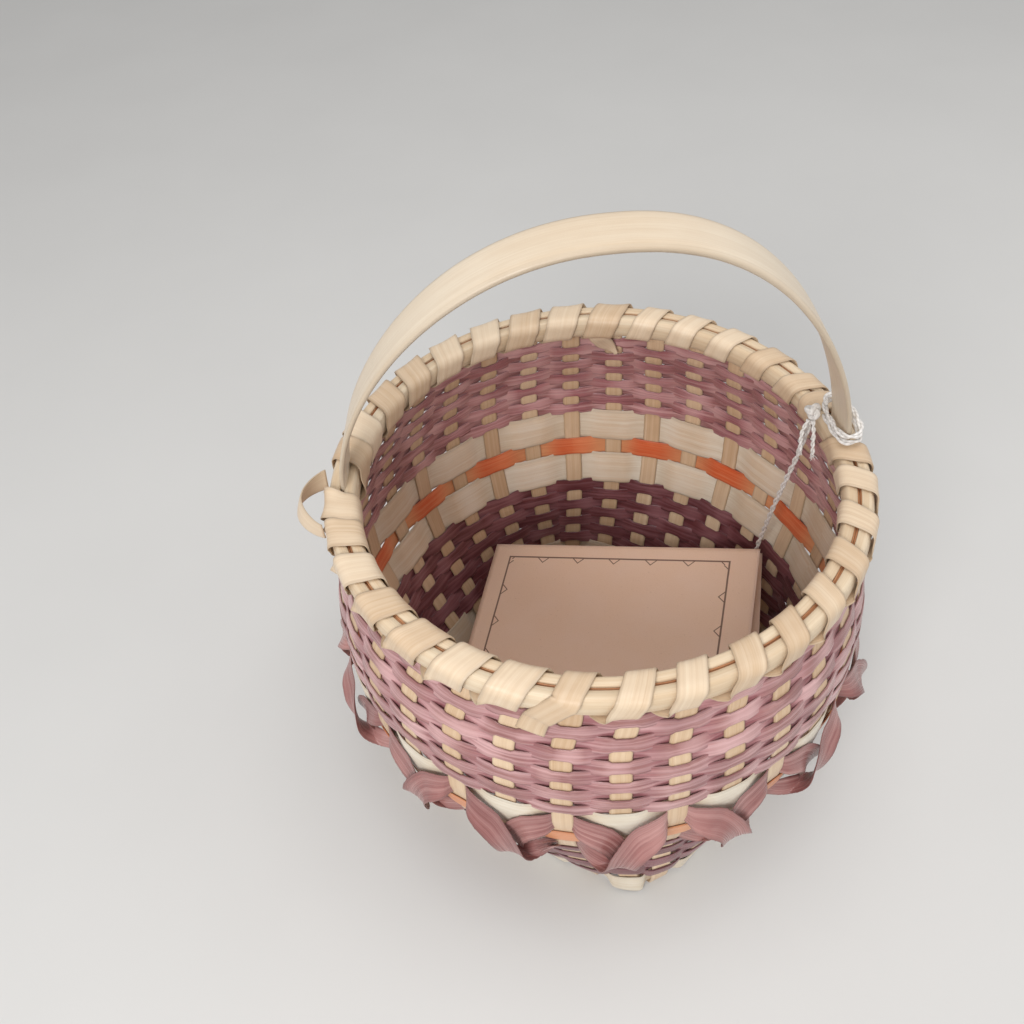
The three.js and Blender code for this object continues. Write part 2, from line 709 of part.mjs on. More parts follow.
// A round tube along a smooth curve through the points.
function tube(points, diameter, sides, steps) {
  const shape = new THREE.Shape();
  for (let i = 0; i < sides; i += 1) {
    const turn = (2 * Math.PI * i) / sides;
    const corner = [(Math.cos(turn) * diameter) / 2, (Math.sin(turn) * diameter) / 2];
    if (i === 0) {
      shape.moveTo(...corner);
    } else {
      shape.lineTo(...corner);
    }
  }
  shape.closePath();
  const extrudePath = new THREE.CatmullRomCurve3(points.map((p) => new THREE.Vector3(...p)));
  return new THREE.ExtrudeGeometry(shape, { steps, extrudePath });
}

// The string goes round the right foot of the handle, in a loose loop above the lashing.
function stringLoopPoint(turn) {
  const azimuth = gapAzimuth(HANDLE_GAPS[0]);
  const out = unit(azimuth);
  const side = unit(azimuth + 90);
  const radius = STRING_DIAMETER / 2;
  const halfOut = HANDLE_THICK / 2 + STRING_GAP + radius + STRING_LOOP_SLACK / 2;
  const halfSide = HANDLE_FOOT_WIDTH / 2 + STRING_GAP + radius + STRING_LOOP_SHIFT;
  const angle = turn * 2 * Math.PI + radians(KNOT_TURN);
  const power = 2 / STRING_LOOP_POWER;
  const low = RIM_TOP + LASHING_GAP + LASHING_THICK + LASHING_EDGE + radius;
  const reach = Math.sign(Math.cos(angle)) * Math.abs(Math.cos(angle)) ** power * halfOut;
  const drift = Math.sign(Math.sin(angle)) * Math.abs(Math.sin(angle)) ** power * halfSide;
  return out.clone().multiplyScalar(HANDLE_RADIUS + reach)
    .addScaledVector(side, drift)
    .setZ(low + turn * STRING_LOOP_RISE);
}

function stringLoopLine() {
  const line = [];
  for (let i = 0; i <= LOOP_TURNS * STRING_LOOP_STEPS; i += 1) {
    line.push({ at: stringLoopPoint(i / STRING_LOOP_STEPS) });
  }
  return line;
}

// The knot stands beside the loop, on the side towards the middle of the basket.
function knotPlace() {
  const level = stringLoopPoint(LOOP_TURNS / 2);
  const inward = unit(gapAzimuth(HANDLE_GAPS[0])).negate();
  return level.addScaledVector(inward, KNOT_RADIUS + STRING_DIAMETER / 2 + STRING_GAP);
}

function addBase() {
  for (let way = 0; way < 2; way += 1) {
    for (let index = 0; index < SPLINTS_PER_WAY; index += 1) {
      addPiece(`base_splint_${"ab"[way]}${index + 1}`, baseSplint(way, index), NATURAL);
    }
  }
}

function addRows() {
  ROWS.forEach((row, number) => {
    addPiece(row.name, row.zigzag ? zigzagRow(row, number) : flatRow(row, number), row.colour);
  });
}

function addRim() {
  addPiece("inner_rim_hoop", hoop(INNER_HOOP_OUTSIDE, INNER_HOOP_INSIDE), NATURAL);
  addPiece("outer_rim_hoop", hoop(HOOP_INSIDE, HOOP_OUTSIDE), NATURAL);
  const right = gapAzimuth(HANDLE_GAPS[0]);
  const left = gapAzimuth(HANDLE_GAPS[1]);
  addPiece("rim_filler_back", filler(right + FILLER_END, left - FILLER_END), PALE);
  addPiece("rim_filler_front", filler(left + FILLER_END, right + 360 - FILLER_END), PALE);
  addPiece("handle", handle(), NATURAL, 0.55);
}

function addLashing() {
  const turns = STAKES / LASHING_PARTS;
  const right = lashing(LASHING_FRONT_GAP + turns, turns, true);
  const left = lashing(LASHING_FRONT_GAP, turns, false);
  addPiece("rim_lashing_right", loft(stripAlong(right, LASHING_WIDTH, LASHING_THICK)), NATURAL);
  addPiece("rim_lashing_left", loft(stripAlong(left, LASHING_WIDTH, LASHING_THICK)), NATURAL);
  addPiece("lashing_loop", tailLoop(), NATURAL);
  const gap = leastGap(left, lashingTurn().length, LASHING_WIDTH);
  console.log(`rim lashing: least gap between turns ${gap.toFixed(2)} mm`);
}

function addCurls() {
  addPiece("curl_strip_high", curl(true, CURL_HIGH_BULGE), MAUVE);
  addPiece("curl_strip_low", curl(false, CURL_LOW_BULGE), MAUVE);
}

// Where a string that heads for the given point leaves the surface of the knot.
function fromKnot(towards) {
  const knot = knotPlace();
  const way = new THREE.Vector3(...towards).sub(knot).normalize();
  return knot.addScaledVector(way, KNOT_RADIUS + STRING_GAP / 2).toArray();
}

function addString(cardHole) {
  const route = [fromKnot(STRING_ROUTE[0]), ...STRING_ROUTE, cardHole.toArray()];
  addPiece("string_run", tube(route, STRING_DIAMETER, STRING_SIDES, STRING_STEPS), COTTON, 0.9);
  const line = stringLoopLine();
  const points = line.map((place) => place.at.toArray());
  addPiece("string_loop", tube(points, STRING_DIAMETER, STRING_LOOP_SIDES, line.length), COTTON, 0.9);
  TAIL_ROUTES.forEach((tail, i) => {
    const shape = tube([fromKnot(tail[0]), ...tail], TAIL_DIAMETER, TAIL_SIDES, TAIL_STEPS);
    addPiece(`string_tail_${i + 1}`, shape, COTTON, 0.9);
  });
  const knot = addPiece("string_knot", new THREE.IcosahedronGeometry(KNOT_RADIUS, 1), COTTON, 0.9);
  knot.position.copy(knotPlace());
  const end = addPiece("string_end_knot", new THREE.IcosahedronGeometry(END_KNOT_RADIUS, 1), COTTON, 0.9);
  end.position.copy(cardHole).add(new THREE.Vector3(0, 0, -END_KNOT_RADIUS - STRING_GAP));
  const gap = leastGap(line, STRING_LOOP_STEPS, STRING_DIAMETER);
  console.log(`string loop: least gap between turns ${gap.toFixed(2)} mm`);
}

addBase();
addRows();
addRim();
addLashing();
addCurls();
const card = addCard();
addString(belowHole(card.back));

export default basket;
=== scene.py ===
import math

import bmesh
import bpy
import numpy as np
from mathutils import Matrix, Vector


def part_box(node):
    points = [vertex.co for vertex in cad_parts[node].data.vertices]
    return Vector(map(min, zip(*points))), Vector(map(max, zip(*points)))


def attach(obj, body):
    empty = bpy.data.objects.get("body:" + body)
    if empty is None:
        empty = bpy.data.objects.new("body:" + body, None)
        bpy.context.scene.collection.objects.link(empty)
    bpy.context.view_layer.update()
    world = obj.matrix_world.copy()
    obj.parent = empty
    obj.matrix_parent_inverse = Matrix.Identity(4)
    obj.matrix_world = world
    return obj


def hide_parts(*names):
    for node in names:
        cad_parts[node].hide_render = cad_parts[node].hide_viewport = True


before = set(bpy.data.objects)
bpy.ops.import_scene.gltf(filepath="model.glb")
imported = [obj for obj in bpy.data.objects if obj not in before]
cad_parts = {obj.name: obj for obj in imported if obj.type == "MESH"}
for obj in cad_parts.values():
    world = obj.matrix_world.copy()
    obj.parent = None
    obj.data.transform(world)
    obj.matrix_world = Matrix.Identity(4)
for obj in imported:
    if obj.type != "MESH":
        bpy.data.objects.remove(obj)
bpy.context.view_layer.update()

scene = bpy.context.scene

# Lengths are in millimetres until a mesh is made. An azimuth is in degrees from +X.
MM = 0.001
STAKES, PER_SIDE = 32, 8
GAP_STEP = 360 / STAKES
BASE_TURN = 5.0
SPLINT_WIDTH, SPLINT_THICK, WEAVER_THICK = 8.4, 0.8, 0.6
FOOT_HALF, FOOT_MARGIN, FOOT_POWER = 74.5, 4.5, 6
SPLINT_PITCH = 2 * (FOOT_HALF - FOOT_MARGIN) / PER_SIDE
FOOT_SPREAD, FOOT_SPREAD_TOP = 2.4, 18
BASE_LEVEL, BASE_LIFT, BASE_REACH = 1.15, 0.65, 66.5
BELLY_RADIUS, BELLY_LOW, BELLY_HIGH, BELLY_FULLNESS = 110.5, 95.0, 105.0, 1.75
ROUND_FROM, SQUARE_FADE = 67.0, 3
RIM_RADIUS, SHOULDER_LATENESS = 101.2, 1.35

# Bands of rows from the foot up: name, rows, height from one row to the next
BANDS = [
    ("foot_row", 1, 14.0), ("plum_row", 7, 6.07), ("lower_wide_row", 1, 16.0), ("orange_row", 1, 10.0),
    ("upper_wide_row", 1, 18.0), ("mauve_row", 10, 5.4),
]
FIRST_ROW, ROW_GAP, BARE_STAKE = 2.5, 0.5, 5

# The stakes and the handle stand in the slot between two hoops
HOOP_HEIGHT, HOOP_THICK, HOOP_GAP = 10, 3.8, 0.5
STAKE_BELOW_RIM, STAKE_HALF = 2.7, 0.5
HANDLE_THICK, HANDLE_FOOT_WIDTH, HANDLE_STAKE_GAP, HANDLE_SLOT_GAP = 1.8, 17.6, 0.56, 0.35
HANDLE_GAPS = (0, 15)
RIM_BOTTOM = FIRST_ROW + sum(rows * height for _, rows, height in BANDS) + BARE_STAKE
RIM_TOP = RIM_BOTTOM + HOOP_HEIGHT
RIM_MIDDLE = (RIM_BOTTOM + RIM_TOP) / 2
STAKE_TOP = RIM_TOP - STAKE_BELOW_RIM
HOOP_INSIDE = RIM_RADIUS + STAKE_HALF + HOOP_GAP
HOOP_OUTSIDE = HOOP_INSIDE + HOOP_THICK
HANDLE_RADIUS = RIM_RADIUS - STAKE_HALF - HANDLE_STAKE_GAP - HANDLE_THICK / 2
INNER_HOOP_OUTSIDE = HANDLE_RADIUS - HANDLE_THICK / 2 - HANDLE_SLOT_GAP
INNER_HOOP_INSIDE = INNER_HOOP_OUTSIDE - HOOP_THICK

# The camera, in metres and degrees
CAMERA_AT = (-0.03422, -0.28442, 0.46508)
CAMERA_PITCH, CAMERA_ROLL = 47.74184, 5.58545
CAMERA_LENS, SENSOR_WIDTH = 36.564, 36


def linear(*rgb):
    """An 8-bit screen colour as linear RGBA."""
    out = [(c / 255 / 12.92) if c <= 10 else ((c / 255 + 0.055) / 1.055) ** 2.4 for c in rgb]
    return (*out, 1.0)


def add_camera():
    data = bpy.data.cameras.new("camera")
    data.sensor_width, data.lens = SENSOR_WIDTH, CAMERA_LENS
    data.clip_start, data.clip_end = 0.02, 20
    cam = bpy.data.objects.new("camera", data)
    tilt = Matrix.Rotation(math.radians(90 - CAMERA_PITCH), 4, "X")
    roll = Matrix.Rotation(math.radians(-CAMERA_ROLL), 4, "Z")
    cam.matrix_world = Matrix.Translation(CAMERA_AT) @ tilt @ roll
    scene.collection.objects.link(cam)
    scene.camera = cam


add_camera()


class Nodes:
    """Short calls that add shader nodes to one material."""

    def __init__(self, name):
        self.material = bpy.data.materials.new(name)
        self.material.use_nodes = True
        self.tree = self.material.node_tree
        self.tree.nodes.clear()
        self.bsdf = self.add("BsdfPrincipled")
        self.add("OutputMaterial", Surface=self.bsdf.outputs[0])

    def put(self, socket, value):
        if isinstance(value, bpy.types.NodeSocket):
            self.tree.links.new(value, socket)
        elif isinstance(value, tuple):
            socket.default_value = linear(*value)
        elif value is not None:
            socket.default_value = value

    def add(self, kind, **inputs):
        n = self.tree.nodes.new(f"ShaderNode{kind}")
        for name, value in inputs.items():
            self.put(n.inputs[name], value)
        return n

    def math(self, kind, a, b=None):
        n = self.add("Math")
        n.operation = kind
        for socket, value in zip(n.inputs, (a, b)):
            self.put(socket, value)
        return n.outputs[0]

    def times(self, a, b):
        return self.math("MULTIPLY", a, b)

    def plus(self, a, b):
        return self.math("ADD", a, b)

    def away(self, a, b):
        """How far apart two values are."""
        return self.math("ABSOLUTE", self.math("SUBTRACT", a, b))

    def mix(self, share, a, b):
        n = self.add("Mix", Factor=share)
        n.data_type = "RGBA"
        self.put(n.inputs[6], a)
        self.put(n.inputs[7], b)
        return n.outputs[2]

    def over(self, colour, other, value, low, high, share):
        """Another colour laid over the first where the value is high."""
        return self.mix(self.ramp(value, low, high, 0, share), colour, other)

    def ramp(self, value, low, high, to_low=0.0, to_high=1.0):
        n = self.add("MapRange")
        for socket, number in zip(n.inputs[:5], (value, low, high, to_low, to_high)):
            self.put(socket, number)
        return n.outputs[0]

    def noise(self, vector, scale, detail, rough):
        n = self.add("TexNoise", Vector=vector, Scale=scale, Detail=detail, Roughness=rough)
        return n.outputs["Fac"]

    def grain(self, u, v, per_u, per_v, place, detail=2, rough=0.5):
        """Noise with so many cells to a metre along and across a strip."""
        n = self.add("CombineXYZ", X=self.times(u, per_u), Y=self.times(v, per_v), Z=place)
        return self.noise(n.outputs[0], 1, detail, rough)

    def split(self, vector):
        return self.add("SeparateXYZ", Vector=vector).outputs

    def uv(self):
        n = self.add("UVMap")
        n.uv_map = "strip_uv"
        return self.split(n.outputs[0])

    def data(self):
        n = self.add("Attribute")
        n.attribute_name = "strip"
        return self.split(n.outputs["Color"])

    def bump(self, height, distance, strength):
        return self.add("Bump", Height=height, Distance=distance, Strength=strength).outputs[0]

    def finish(self, colour, rough, normal=None, sheen=0.0, specular=0.5):
        values = {"Base Color": colour, "Roughness": rough, "Normal": normal, "Sheen Weight": sheen,
                  "Specular IOR Level": specular}
        for name, value in values.items():
            self.put(self.bsdf.inputs[name], value)
        return self.material


# How far colour darkens towards each strip's edges, and the share of the streak colour it darkens to.
EDGE_DARKENING, EDGE_SHADE = 0.35, 0.55


def splint_material(name, base, streak, pale, contrast=0.5, rough=0.5, outside=None):
    """Split wood: long grain along the strip, blotches, paler flecks, painted sheen in pale passes and darker
    edges.
    """
    n = Nodes(name)
    u, v, _ = n.uv()
    edge_at, tone, side = n.data()
    place = 0.37 * len(name)
    grain = n.grain(u, v, 22, 2600, place, 3, 0.6)
    band = n.grain(u, v, 9, 620, place)
    blotch = n.grain(u, v, 75, 190, place, 3, 0.55)
    fibre = n.grain(u, v, 160, 7500, place, 2, 0.6)
    # Outer faces of a row take the outside colour: partly the strips' own colour, partly painted light, with
    # the inner mauve faces lighter and the inner pale faces warmer for the light inside the basket.
    start = n.mix(side, base, outside) if outside else base
    colour = n.over(start, streak, grain, 0.36, 0.72, contrast)
    colour = n.over(colour, pale, band, 0.42, 0.7, contrast * 0.8)
    colour = n.over(colour, pale, blotch, 0.5, 0.78, contrast * 0.5)
    colour = n.over(colour, streak, blotch, 0.45, 0.2, contrast * 0.45)
    colour = n.over(colour, streak, tone, 0.35, 1.0, 0.4)
    # Where the tone is low the strip turns pale: partly the strips' own random tone, partly painted sheen
    # highlights standing in for their silky gloss.
    colour = n.over(colour, pale, tone, 0.5, 0.05, contrast * 0.75)
    # Colour darker towards each strip's edges.
    edge_dark = n.times(n.ramp(edge_at, 0.78, 1.0), EDGE_DARKENING)
    colour = n.mix(edge_dark, colour, tuple(int(c * EDGE_SHADE) for c in streak))
    roughness = n.ramp(grain, 0.3, 0.8, rough - 0.08, rough + 0.14)
    height = n.plus(n.times(grain, 0.6), n.times(fibre, 0.4))
    return n.finish(colour, roughness, n.bump(height, 0.00022, 0.55), sheen=0.06, specular=0.42)


def cotton_material():
    """Soft spun cotton: fine diagonal yarns with fuzz."""
    n = Nodes("cotton")
    u, v, _ = n.uv()
    yarn = n.math("SINE", n.plus(n.times(u, 2600), n.times(v, 2100)))
    fuzz = n.grain(u, v, 2500, 4500, 0.0, 3, 0.7)
    shade = n.plus(n.times(yarn, 0.28), n.times(fuzz, 0.8))
    colour = n.mix(n.ramp(shade, -0.1, 0.7), (200, 195, 190), (234, 230, 226))
    return n.finish(colour, 0.92, n.bump(shade, 0.00025, 0.8), sheen=0.35, specular=0.25)


# The card's border in metres: middle, half its size, half the rule's width without and with its soft edge
RULE_MIDDLE, RULE_HALF = (0.068, 0.054), (0.058, 0.046)
RULE_LINE = (0.00036, 0.00052)
# Its small triangles: how many to a metre, their slope, height, highest place drawn and line
MARKS, MARK_SLOPE, MARK_HEIGHT, MARK_TOP = 52, 0.0192, 0.0032, 0.004
MARK_LINE = (0.00028, 0.00044)


def paper_material():
    """Speckled card stock with a ruled border and a painted highlight along its outer edges; strip_uv is in
    metres from a corner at the fold.
    """
    n = Nodes("card_paper")
    u, v, _ = n.uv()
    rim, _, ruled = n.data()
    speck = n.grain(u, v, 2300, 2300, 1.0, 3, 0.65)
    fleck = n.grain(u, v, 700, 1500, 5.0)
    cloud = n.grain(u, v, 60, 60, 2.0)
    colour = n.over((230, 200, 176), (212, 176, 150), speck, 0.35, 0.75, 0.55)
    colour = n.over(colour, (172, 130, 108), fleck, 0.66, 0.78, 0.5)
    colour = n.over(colour, (230, 204, 188), cloud, 0.4, 0.7, 0.25)
    du, dv = (n.math("SUBTRACT", n.away(at, middle), half)
              for at, middle, half in zip((u, v), RULE_MIDDLE, RULE_HALF))
    along = n.split(n.mix(n.math("GREATER_THAN", du, dv), u, v))[0]
    wobble = n.times(n.math("SUBTRACT", cloud, 0.5), 0.0003)
    line = n.plus(n.math("MAXIMUM", du, dv), wobble)
    rule = n.ramp(n.away(line, 0.0), *RULE_LINE, 1, 0)
    spot = n.away(n.math("FRACT", n.times(along, MARKS)), 0.5)
    slope = n.math("SUBTRACT", n.times(spot, MARK_SLOPE), line)
    mark = n.ramp(n.away(slope, MARK_HEIGHT), *MARK_LINE, 1, 0)
    drawn = n.times(n.math("LESS_THAN", line, 0.0), n.math("LESS_THAN", slope, MARK_TOP))
    ink = n.times(n.math("MAXIMUM", rule, n.times(mark, drawn)), ruled)
    colour = n.mix(n.times(ink, 0.85), colour, (92, 66, 58))
    # Painted highlight: paler in a thin band along the leaf's outer edges.
    colour = n.over(colour, (236, 214, 200), rim, 0.6, 1.0, 0.5)
    height = n.plus(n.times(speck, 0.7), n.times(fleck, 0.3))
    return n.finish(colour, 0.82, n.bump(height, 0.00008, 0.5), sheen=0.05, specular=0.3)


def floor_material():
    n = Nodes("floor")
    place = n.add("TexCoord").outputs["Object"]
    cloud = n.noise(place, 9, 3, 0.5)
    colour = n.mix(cloud, (206, 205, 203), (212, 211, 209))
    return n.finish(colour, 0.75, specular=0.2)


# The third colour of each is for paler flecks and also serves as the painted sheen highlight laid in by the
# tone.
NATURAL = splint_material("natural_splint", (212, 182, 148), (184, 148, 112), (232, 210, 182), 0.5, 0.42)
LASHING = splint_material("lashing_splint", (213, 188, 158), (186, 154, 120), (233, 216, 192), 0.5, 0.4)
# Outside colours are for a row's outer faces; the inner faces differ from them partly as painted light.
PALE = splint_material("pale_splint", (230, 210, 184), (200, 174, 142), (240, 232, 218), 0.6, 0.38,
                       outside=(230, 220, 200))
HOOP = splint_material("hoop_splint", (214, 192, 162), (190, 158, 122), (230, 216, 192), 0.5, 0.42)
REED = splint_material("reed", (170, 114, 74), (128, 80, 50), (198, 148, 108), 0.6, 0.5)
STRAP = splint_material("handle_splint", (222, 204, 180), (202, 178, 148), (238, 226, 206), 0.4, 0.4)
PLUM = splint_material("plum_splint", (118, 62, 66), (70, 30, 36), (172, 124, 130), 0.65, 0.32)
MAUVE = splint_material("mauve_splint", (184, 120, 126), (112, 62, 68), (224, 182, 182), 0.8, 0.3,
                        outside=(172, 122, 116))
ORANGE = splint_material("orange_splint", (224, 104, 58), (190, 80, 44), (240, 168, 122), 0.5, 0.4,
                         outside=(226, 166, 118))
CURL = splint_material("curl_splint", (152, 98, 94), (106, 60, 60), (206, 160, 154), 0.55, 0.28)
COTTON = cotton_material()
PAPER = paper_material()


# The wall's shape, as in the CAD model
def mix(a, b, share):
    return a + (b - a) * share


def ease(t):
    t = np.clip(t, 0, 1)
    return t * t * (3 - 2 * t)


def unit(v):
    return v / np.linalg.norm(v, axis=-1, keepdims=True)


def ring_unit(azimuth):
    a = np.radians(azimuth)
    return np.stack([np.cos(a), np.sin(a), np.zeros_like(a)], -1)


def polar(azimuth, radius, z):
    """Points at an azimuth, a radius and a height."""
    point = ring_unit(azimuth) * np.asarray(radius)[..., None]
    point[..., 2] = z
    return point


def side_radius(z):
    rise = np.clip((z - BASE_LEVEL) / (BELLY_LOW - BASE_LEVEL), 0, 1)
    below = mix(FOOT_HALF, BELLY_RADIUS, 1 - (1 - rise) ** BELLY_FULLNESS)
    shoulder = np.clip((z - BELLY_HIGH) / (RIM_BOTTOM - BELLY_HIGH), 0, 1)
    above = mix(BELLY_RADIUS, RIM_RADIUS, (1 - np.cos(np.pi * shoulder ** SHOULDER_LATENESS)) / 2)
    return np.where(z < BELLY_LOW, below, above)


def wall_radius(azimuth, z):
    """A rounded square that turns into a circle, at the floor a little wider than the solids."""
    turn = np.radians(azimuth - BASE_TURN - 45)
    power = 2 + (FOOT_POWER - 2) * np.clip(1 - z / ROUND_FROM, 0, 1) ** SQUARE_FADE
    total = np.abs(np.cos(turn)) ** power + np.abs(np.sin(turn)) ** power
    return (side_radius(z) + FOOT_SPREAD * ease(1 - z / FOOT_SPREAD_TOP)) / total ** (1 / power)


def on_wall(azimuth, z):
    azimuth, z = np.broadcast_arrays(np.asarray(azimuth, float), np.asarray(z, float))
    return polar(azimuth, wall_radius(azimuth, z), z)


def wall_normal(azimuth, z):
    around = on_wall(azimuth + 0.5, z) - on_wall(azimuth - 0.5, z)
    up = on_wall(azimuth, z + 0.5) - on_wall(azimuth, z - 0.5)
    return unit(np.cross(around, up))


def off_wall(azimuth, z, offset):
    return on_wall(azimuth, z) + wall_normal(azimuth, z) * np.asarray(offset, float)[..., None]


def gap_azimuth(gap):
    return BASE_TURN + gap * GAP_STEP


def splint_offset(index):
    return (index - (PER_SIDE - 1) / 2) * SPLINT_PITCH


def stake_azimuth(stake, z):
    turns, stake = np.divmod(np.asarray(stake), STAKES)
    side = stake // PER_SIDE
    offset = splint_offset(stake - side * PER_SIDE)
    edge = (FOOT_HALF ** FOOT_POWER - np.abs(offset) ** FOOT_POWER) ** (1 / FOOT_POWER)
    at_foot = np.degrees(np.arctan2(offset, edge)) + 45 + 90 * side
    at_rim = (stake + 0.5) * GAP_STEP
    azimuth = BASE_TURN + mix(at_foot, at_rim, ease(np.asarray(z, float) / ROUND_FROM))
    return azimuth + 360 * turns + stake_lean(azimuth, z)


# Sides where the stakes lean, in degrees of azimuth: middle, reach, fade and lean
LEANS = [(45, 35, 20, 1.3), (255, 95, 45, -2.0)]


def stake_lean(azimuth, z):
    """Stakes stand a little off their even places between the foot and the rim."""
    level = ease((z - 8) / 45) * ease((158 - z) / 22)
    total = 0
    for middle, reach, fade, lean in LEANS:
        away = np.abs((azimuth - middle + 180) % 360 - 180)
        total += lean * ease((reach - away) / fade)
    return total * level


def between_stakes(s, z):
    """Azimuth at a place s along the ring, counted in stakes."""
    k = np.floor(s).astype(int)
    return mix(stake_azimuth(k, z), stake_azimuth(k + 1, z), s - k)


def ripple(turn, seed, waves):
    """Smooth noise round a ring, within about one; turn is in radians."""
    rng = np.random.default_rng(seed)
    total = sum(rng.uniform(0.4, 1) * np.sin(w * turn + rng.uniform(0, 6.28)) for w in waves)
    return total / len(waves) * 1.4


def waver(along, seed, lengths=(9, 17, 31, 53)):
    """Smooth noise along a line, within about one."""
    rng = np.random.default_rng(seed)
    total = sum(np.sin(along * 6.283 / w + rng.uniform(0, 6.28)) for w in lengths)
    return total / len(lengths) * 1.3


# Meshes

# Places across a strip from edge to edge, and the share of its thickness there
EDGE_X = np.array([-1, -0.955, -0.86, -0.5, 0, 0.5, 0.86, 0.955, 1])
EDGE_H = np.array([0.3, 0.82, 1, 1, 1, 1, 1, 0.82, 0.3])
# Metres between the grain of one strip and the next, and between the two faces of a strip
SEED_STEP, FACE_STEP = 0.047, 0.003


def grid(count, corners, closed):
    """Faces between neighbouring rings of points, with the ring and the two corners of each."""
    rings = count if closed else count - 1
    i, j = np.repeat(np.arange(rings), corners), np.tile(np.arange(corners), rings)
    after, k = (i + 1) % count, (j + 1) % corners
    faces = np.column_stack([i * corners + j, after * corners + j, after * corners + k, i * corners + k])
    return i, j, k, faces.tolist()


def corner_uvs(u, v, i, j, k):
    """UVs of each face's four corners, from one value for each ring and one for each corner."""
    pairs = ((u[i], v[j]), (u[i + 1], v[j]), (u[i + 1], v[k]), (u[i], v[k]))
    return np.stack([np.column_stack(pair) for pair in pairs], 1).reshape(-1, 2)


def strip_parts(centre, across, face, width, thick, closed=False, cup=0.0, tone=0.5, side=0.0, frayed=0.0,
                seed=1):
    """A part: one flat strip with eased edges."""
    count = len(centre)
    width, thick, cup, tone, side = (np.broadcast_to(np.asarray(value, float), count)[:, None]
                                     for value in (width, thick, cup, tone, side))
    steps = np.linalg.norm(np.roll(centre, -1, 0) - centre, axis=1)
    u = np.concatenate([[0], np.cumsum(steps)]) * MM
    x = np.concatenate([EDGE_X, EDGE_X[::-1]])
    h = np.concatenate([EDGE_H, -EDGE_H[::-1]])
    corners = len(x)
    jag = np.random.default_rng(seed).normal(0, 1, (count, 2)) * frayed
    half = width / 2 * x + np.where(np.abs(x) > 0.9, np.where(x > 0, jag[:, 1:], jag[:, :1]), 0)
    rise = thick / 2 * h + cup * (1 - x ** 2)
    points = centre[:, None] + across[:, None] * half[..., None] + face[:, None] * rise[..., None]
    i, j, k, faces = grid(count, corners, closed)
    v = x * float(np.mean(width)) / 2 * MM + seed * SEED_STEP
    v[len(EDGE_X):] += FACE_STEP
    uvs = [corner_uvs(u, v, i, j, k)]
    data = np.stack(np.broadcast_arrays(np.abs(x), tone, side), -1).reshape(-1, 3)
    if not closed:
        first = list(range(corners))[::-1]
        faces += [first, [(count - 1) * corners + c for c in range(corners)]]
        uvs += [np.column_stack([np.full(corners, u[0]), v[first]]),
                np.column_stack([np.full(corners, u[count - 1]), v])]
    return points.reshape(-1, 3), faces, uvs, data


def add_parts(name, parts, material, node, body="basket"):
    """A part is points in mm, faces, UVs of their corners, and (edge, tone, side) of each point."""
    starts = np.cumsum([0] + [len(part[0]) for part in parts])
    faces = [[int(c + start) for c in face] for start, part in zip(starts, parts) for face in part[1]]
    mesh = bpy.data.meshes.new(name)
    mesh.from_pydata((np.concatenate([part[0] for part in parts]) * MM).tolist(), [], faces)
    uvs = np.concatenate([uv for part in parts for uv in part[2]]).astype(np.float32)
    mesh.uv_layers.new(name="strip_uv").data.foreach_set("uv", uvs.ravel())
    data = np.concatenate([part[3] for part in parts])
    data = np.column_stack([data, np.ones(len(data))]).astype(np.float32)
    mesh.color_attributes.new("strip", "FLOAT_COLOR", "POINT").data.foreach_set("color", data.ravel())
    mesh.polygons.foreach_set("use_smooth", np.ones(len(mesh.polygons), bool))
    mesh.materials.append(material)
    mesh.validate()
    b = bmesh.new()
    b.from_mesh(mesh)
    bmesh.ops.recalc_face_normals(b, faces=b.faces)
    b.to_mesh(mesh)
    b.free()
    piece = bpy.data.objects.new(name, mesh)
    scene.collection.objects.link(piece)
    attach(piece, body)
    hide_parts(node)
    return piece


def frames_along(points, face_hint):
    """Across and face vectors of a strip that follows the points and faces the hint."""
    travel = unit(np.gradient(points, axis=0))
    across = unit(np.cross(travel, face_hint))
    return across, unit(np.cross(across, travel))


def smooth_line(points, steps):
    """A Catmull-Rom curve through the points, with steps places to each stretch."""
    p = np.asarray(points, float)
    p = np.vstack([2 * p[0] - p[1], p, 2 * p[-1] - p[-2]])
    out = []
    for i in range(1, len(p) - 2):
        for t in np.arange(steps) / steps:
            a, b, c, d = p[i - 1: i + 3]
            out.append(0.5 * (2 * b + (c - a) * t + (2 * a - 5 * b + 4 * c - d) * t ** 2
                              + (3 * b - a - 3 * c + d) * t ** 3))
    out.append(p[-2])
    return np.array(out)


# String
STRING, STRING_GAP, KNOT_RADIUS, END_KNOT_RADIUS = 2.4, 0.35, 3.6, 2.8
# The loop round the handle's foot: slack outward and sideways, rise in a turn, and where the knot is
LOOP_SLACK, LOOP_SHIFT, LOOP_RISE, KNOT_TURN, LOOP_POWER = 4.6, 1.2, 3.1, 155, 2 / 3
OVER_LASHING = 2.0
LOOP_LOW = RIM_TOP + OVER_LASHING + STRING / 2
STRING_ROUTE = [
    [88.1, 14.4, 169], [87.8, 16, 161], [87.4, 18.3, 150], [86.9, 21.5, 138], [86.4, 25.4, 124],
    [86, 29.4, 110], [85.8, 33.4, 96], [85.8, 37.4, 82], [85.6, 40.6, 70], [85.4, 42.4, 60],
]
TAIL_ROUTES = [
    [[88, 7.4, 172], [87.8, 5.8, 168], [88, 4.4, 164]],
    [[84.2, 9.8, 172.4], [83.4, 8, 168.6], [83.4, 6.4, 164.8]],
]


def signed_power(value, power):
    return np.sign(value) * np.abs(value) ** power


def length_along(path):
    """The length of a line up to each of its points."""
    return np.concatenate([[0], np.cumsum(np.linalg.norm(np.diff(path, axis=0), axis=1))])


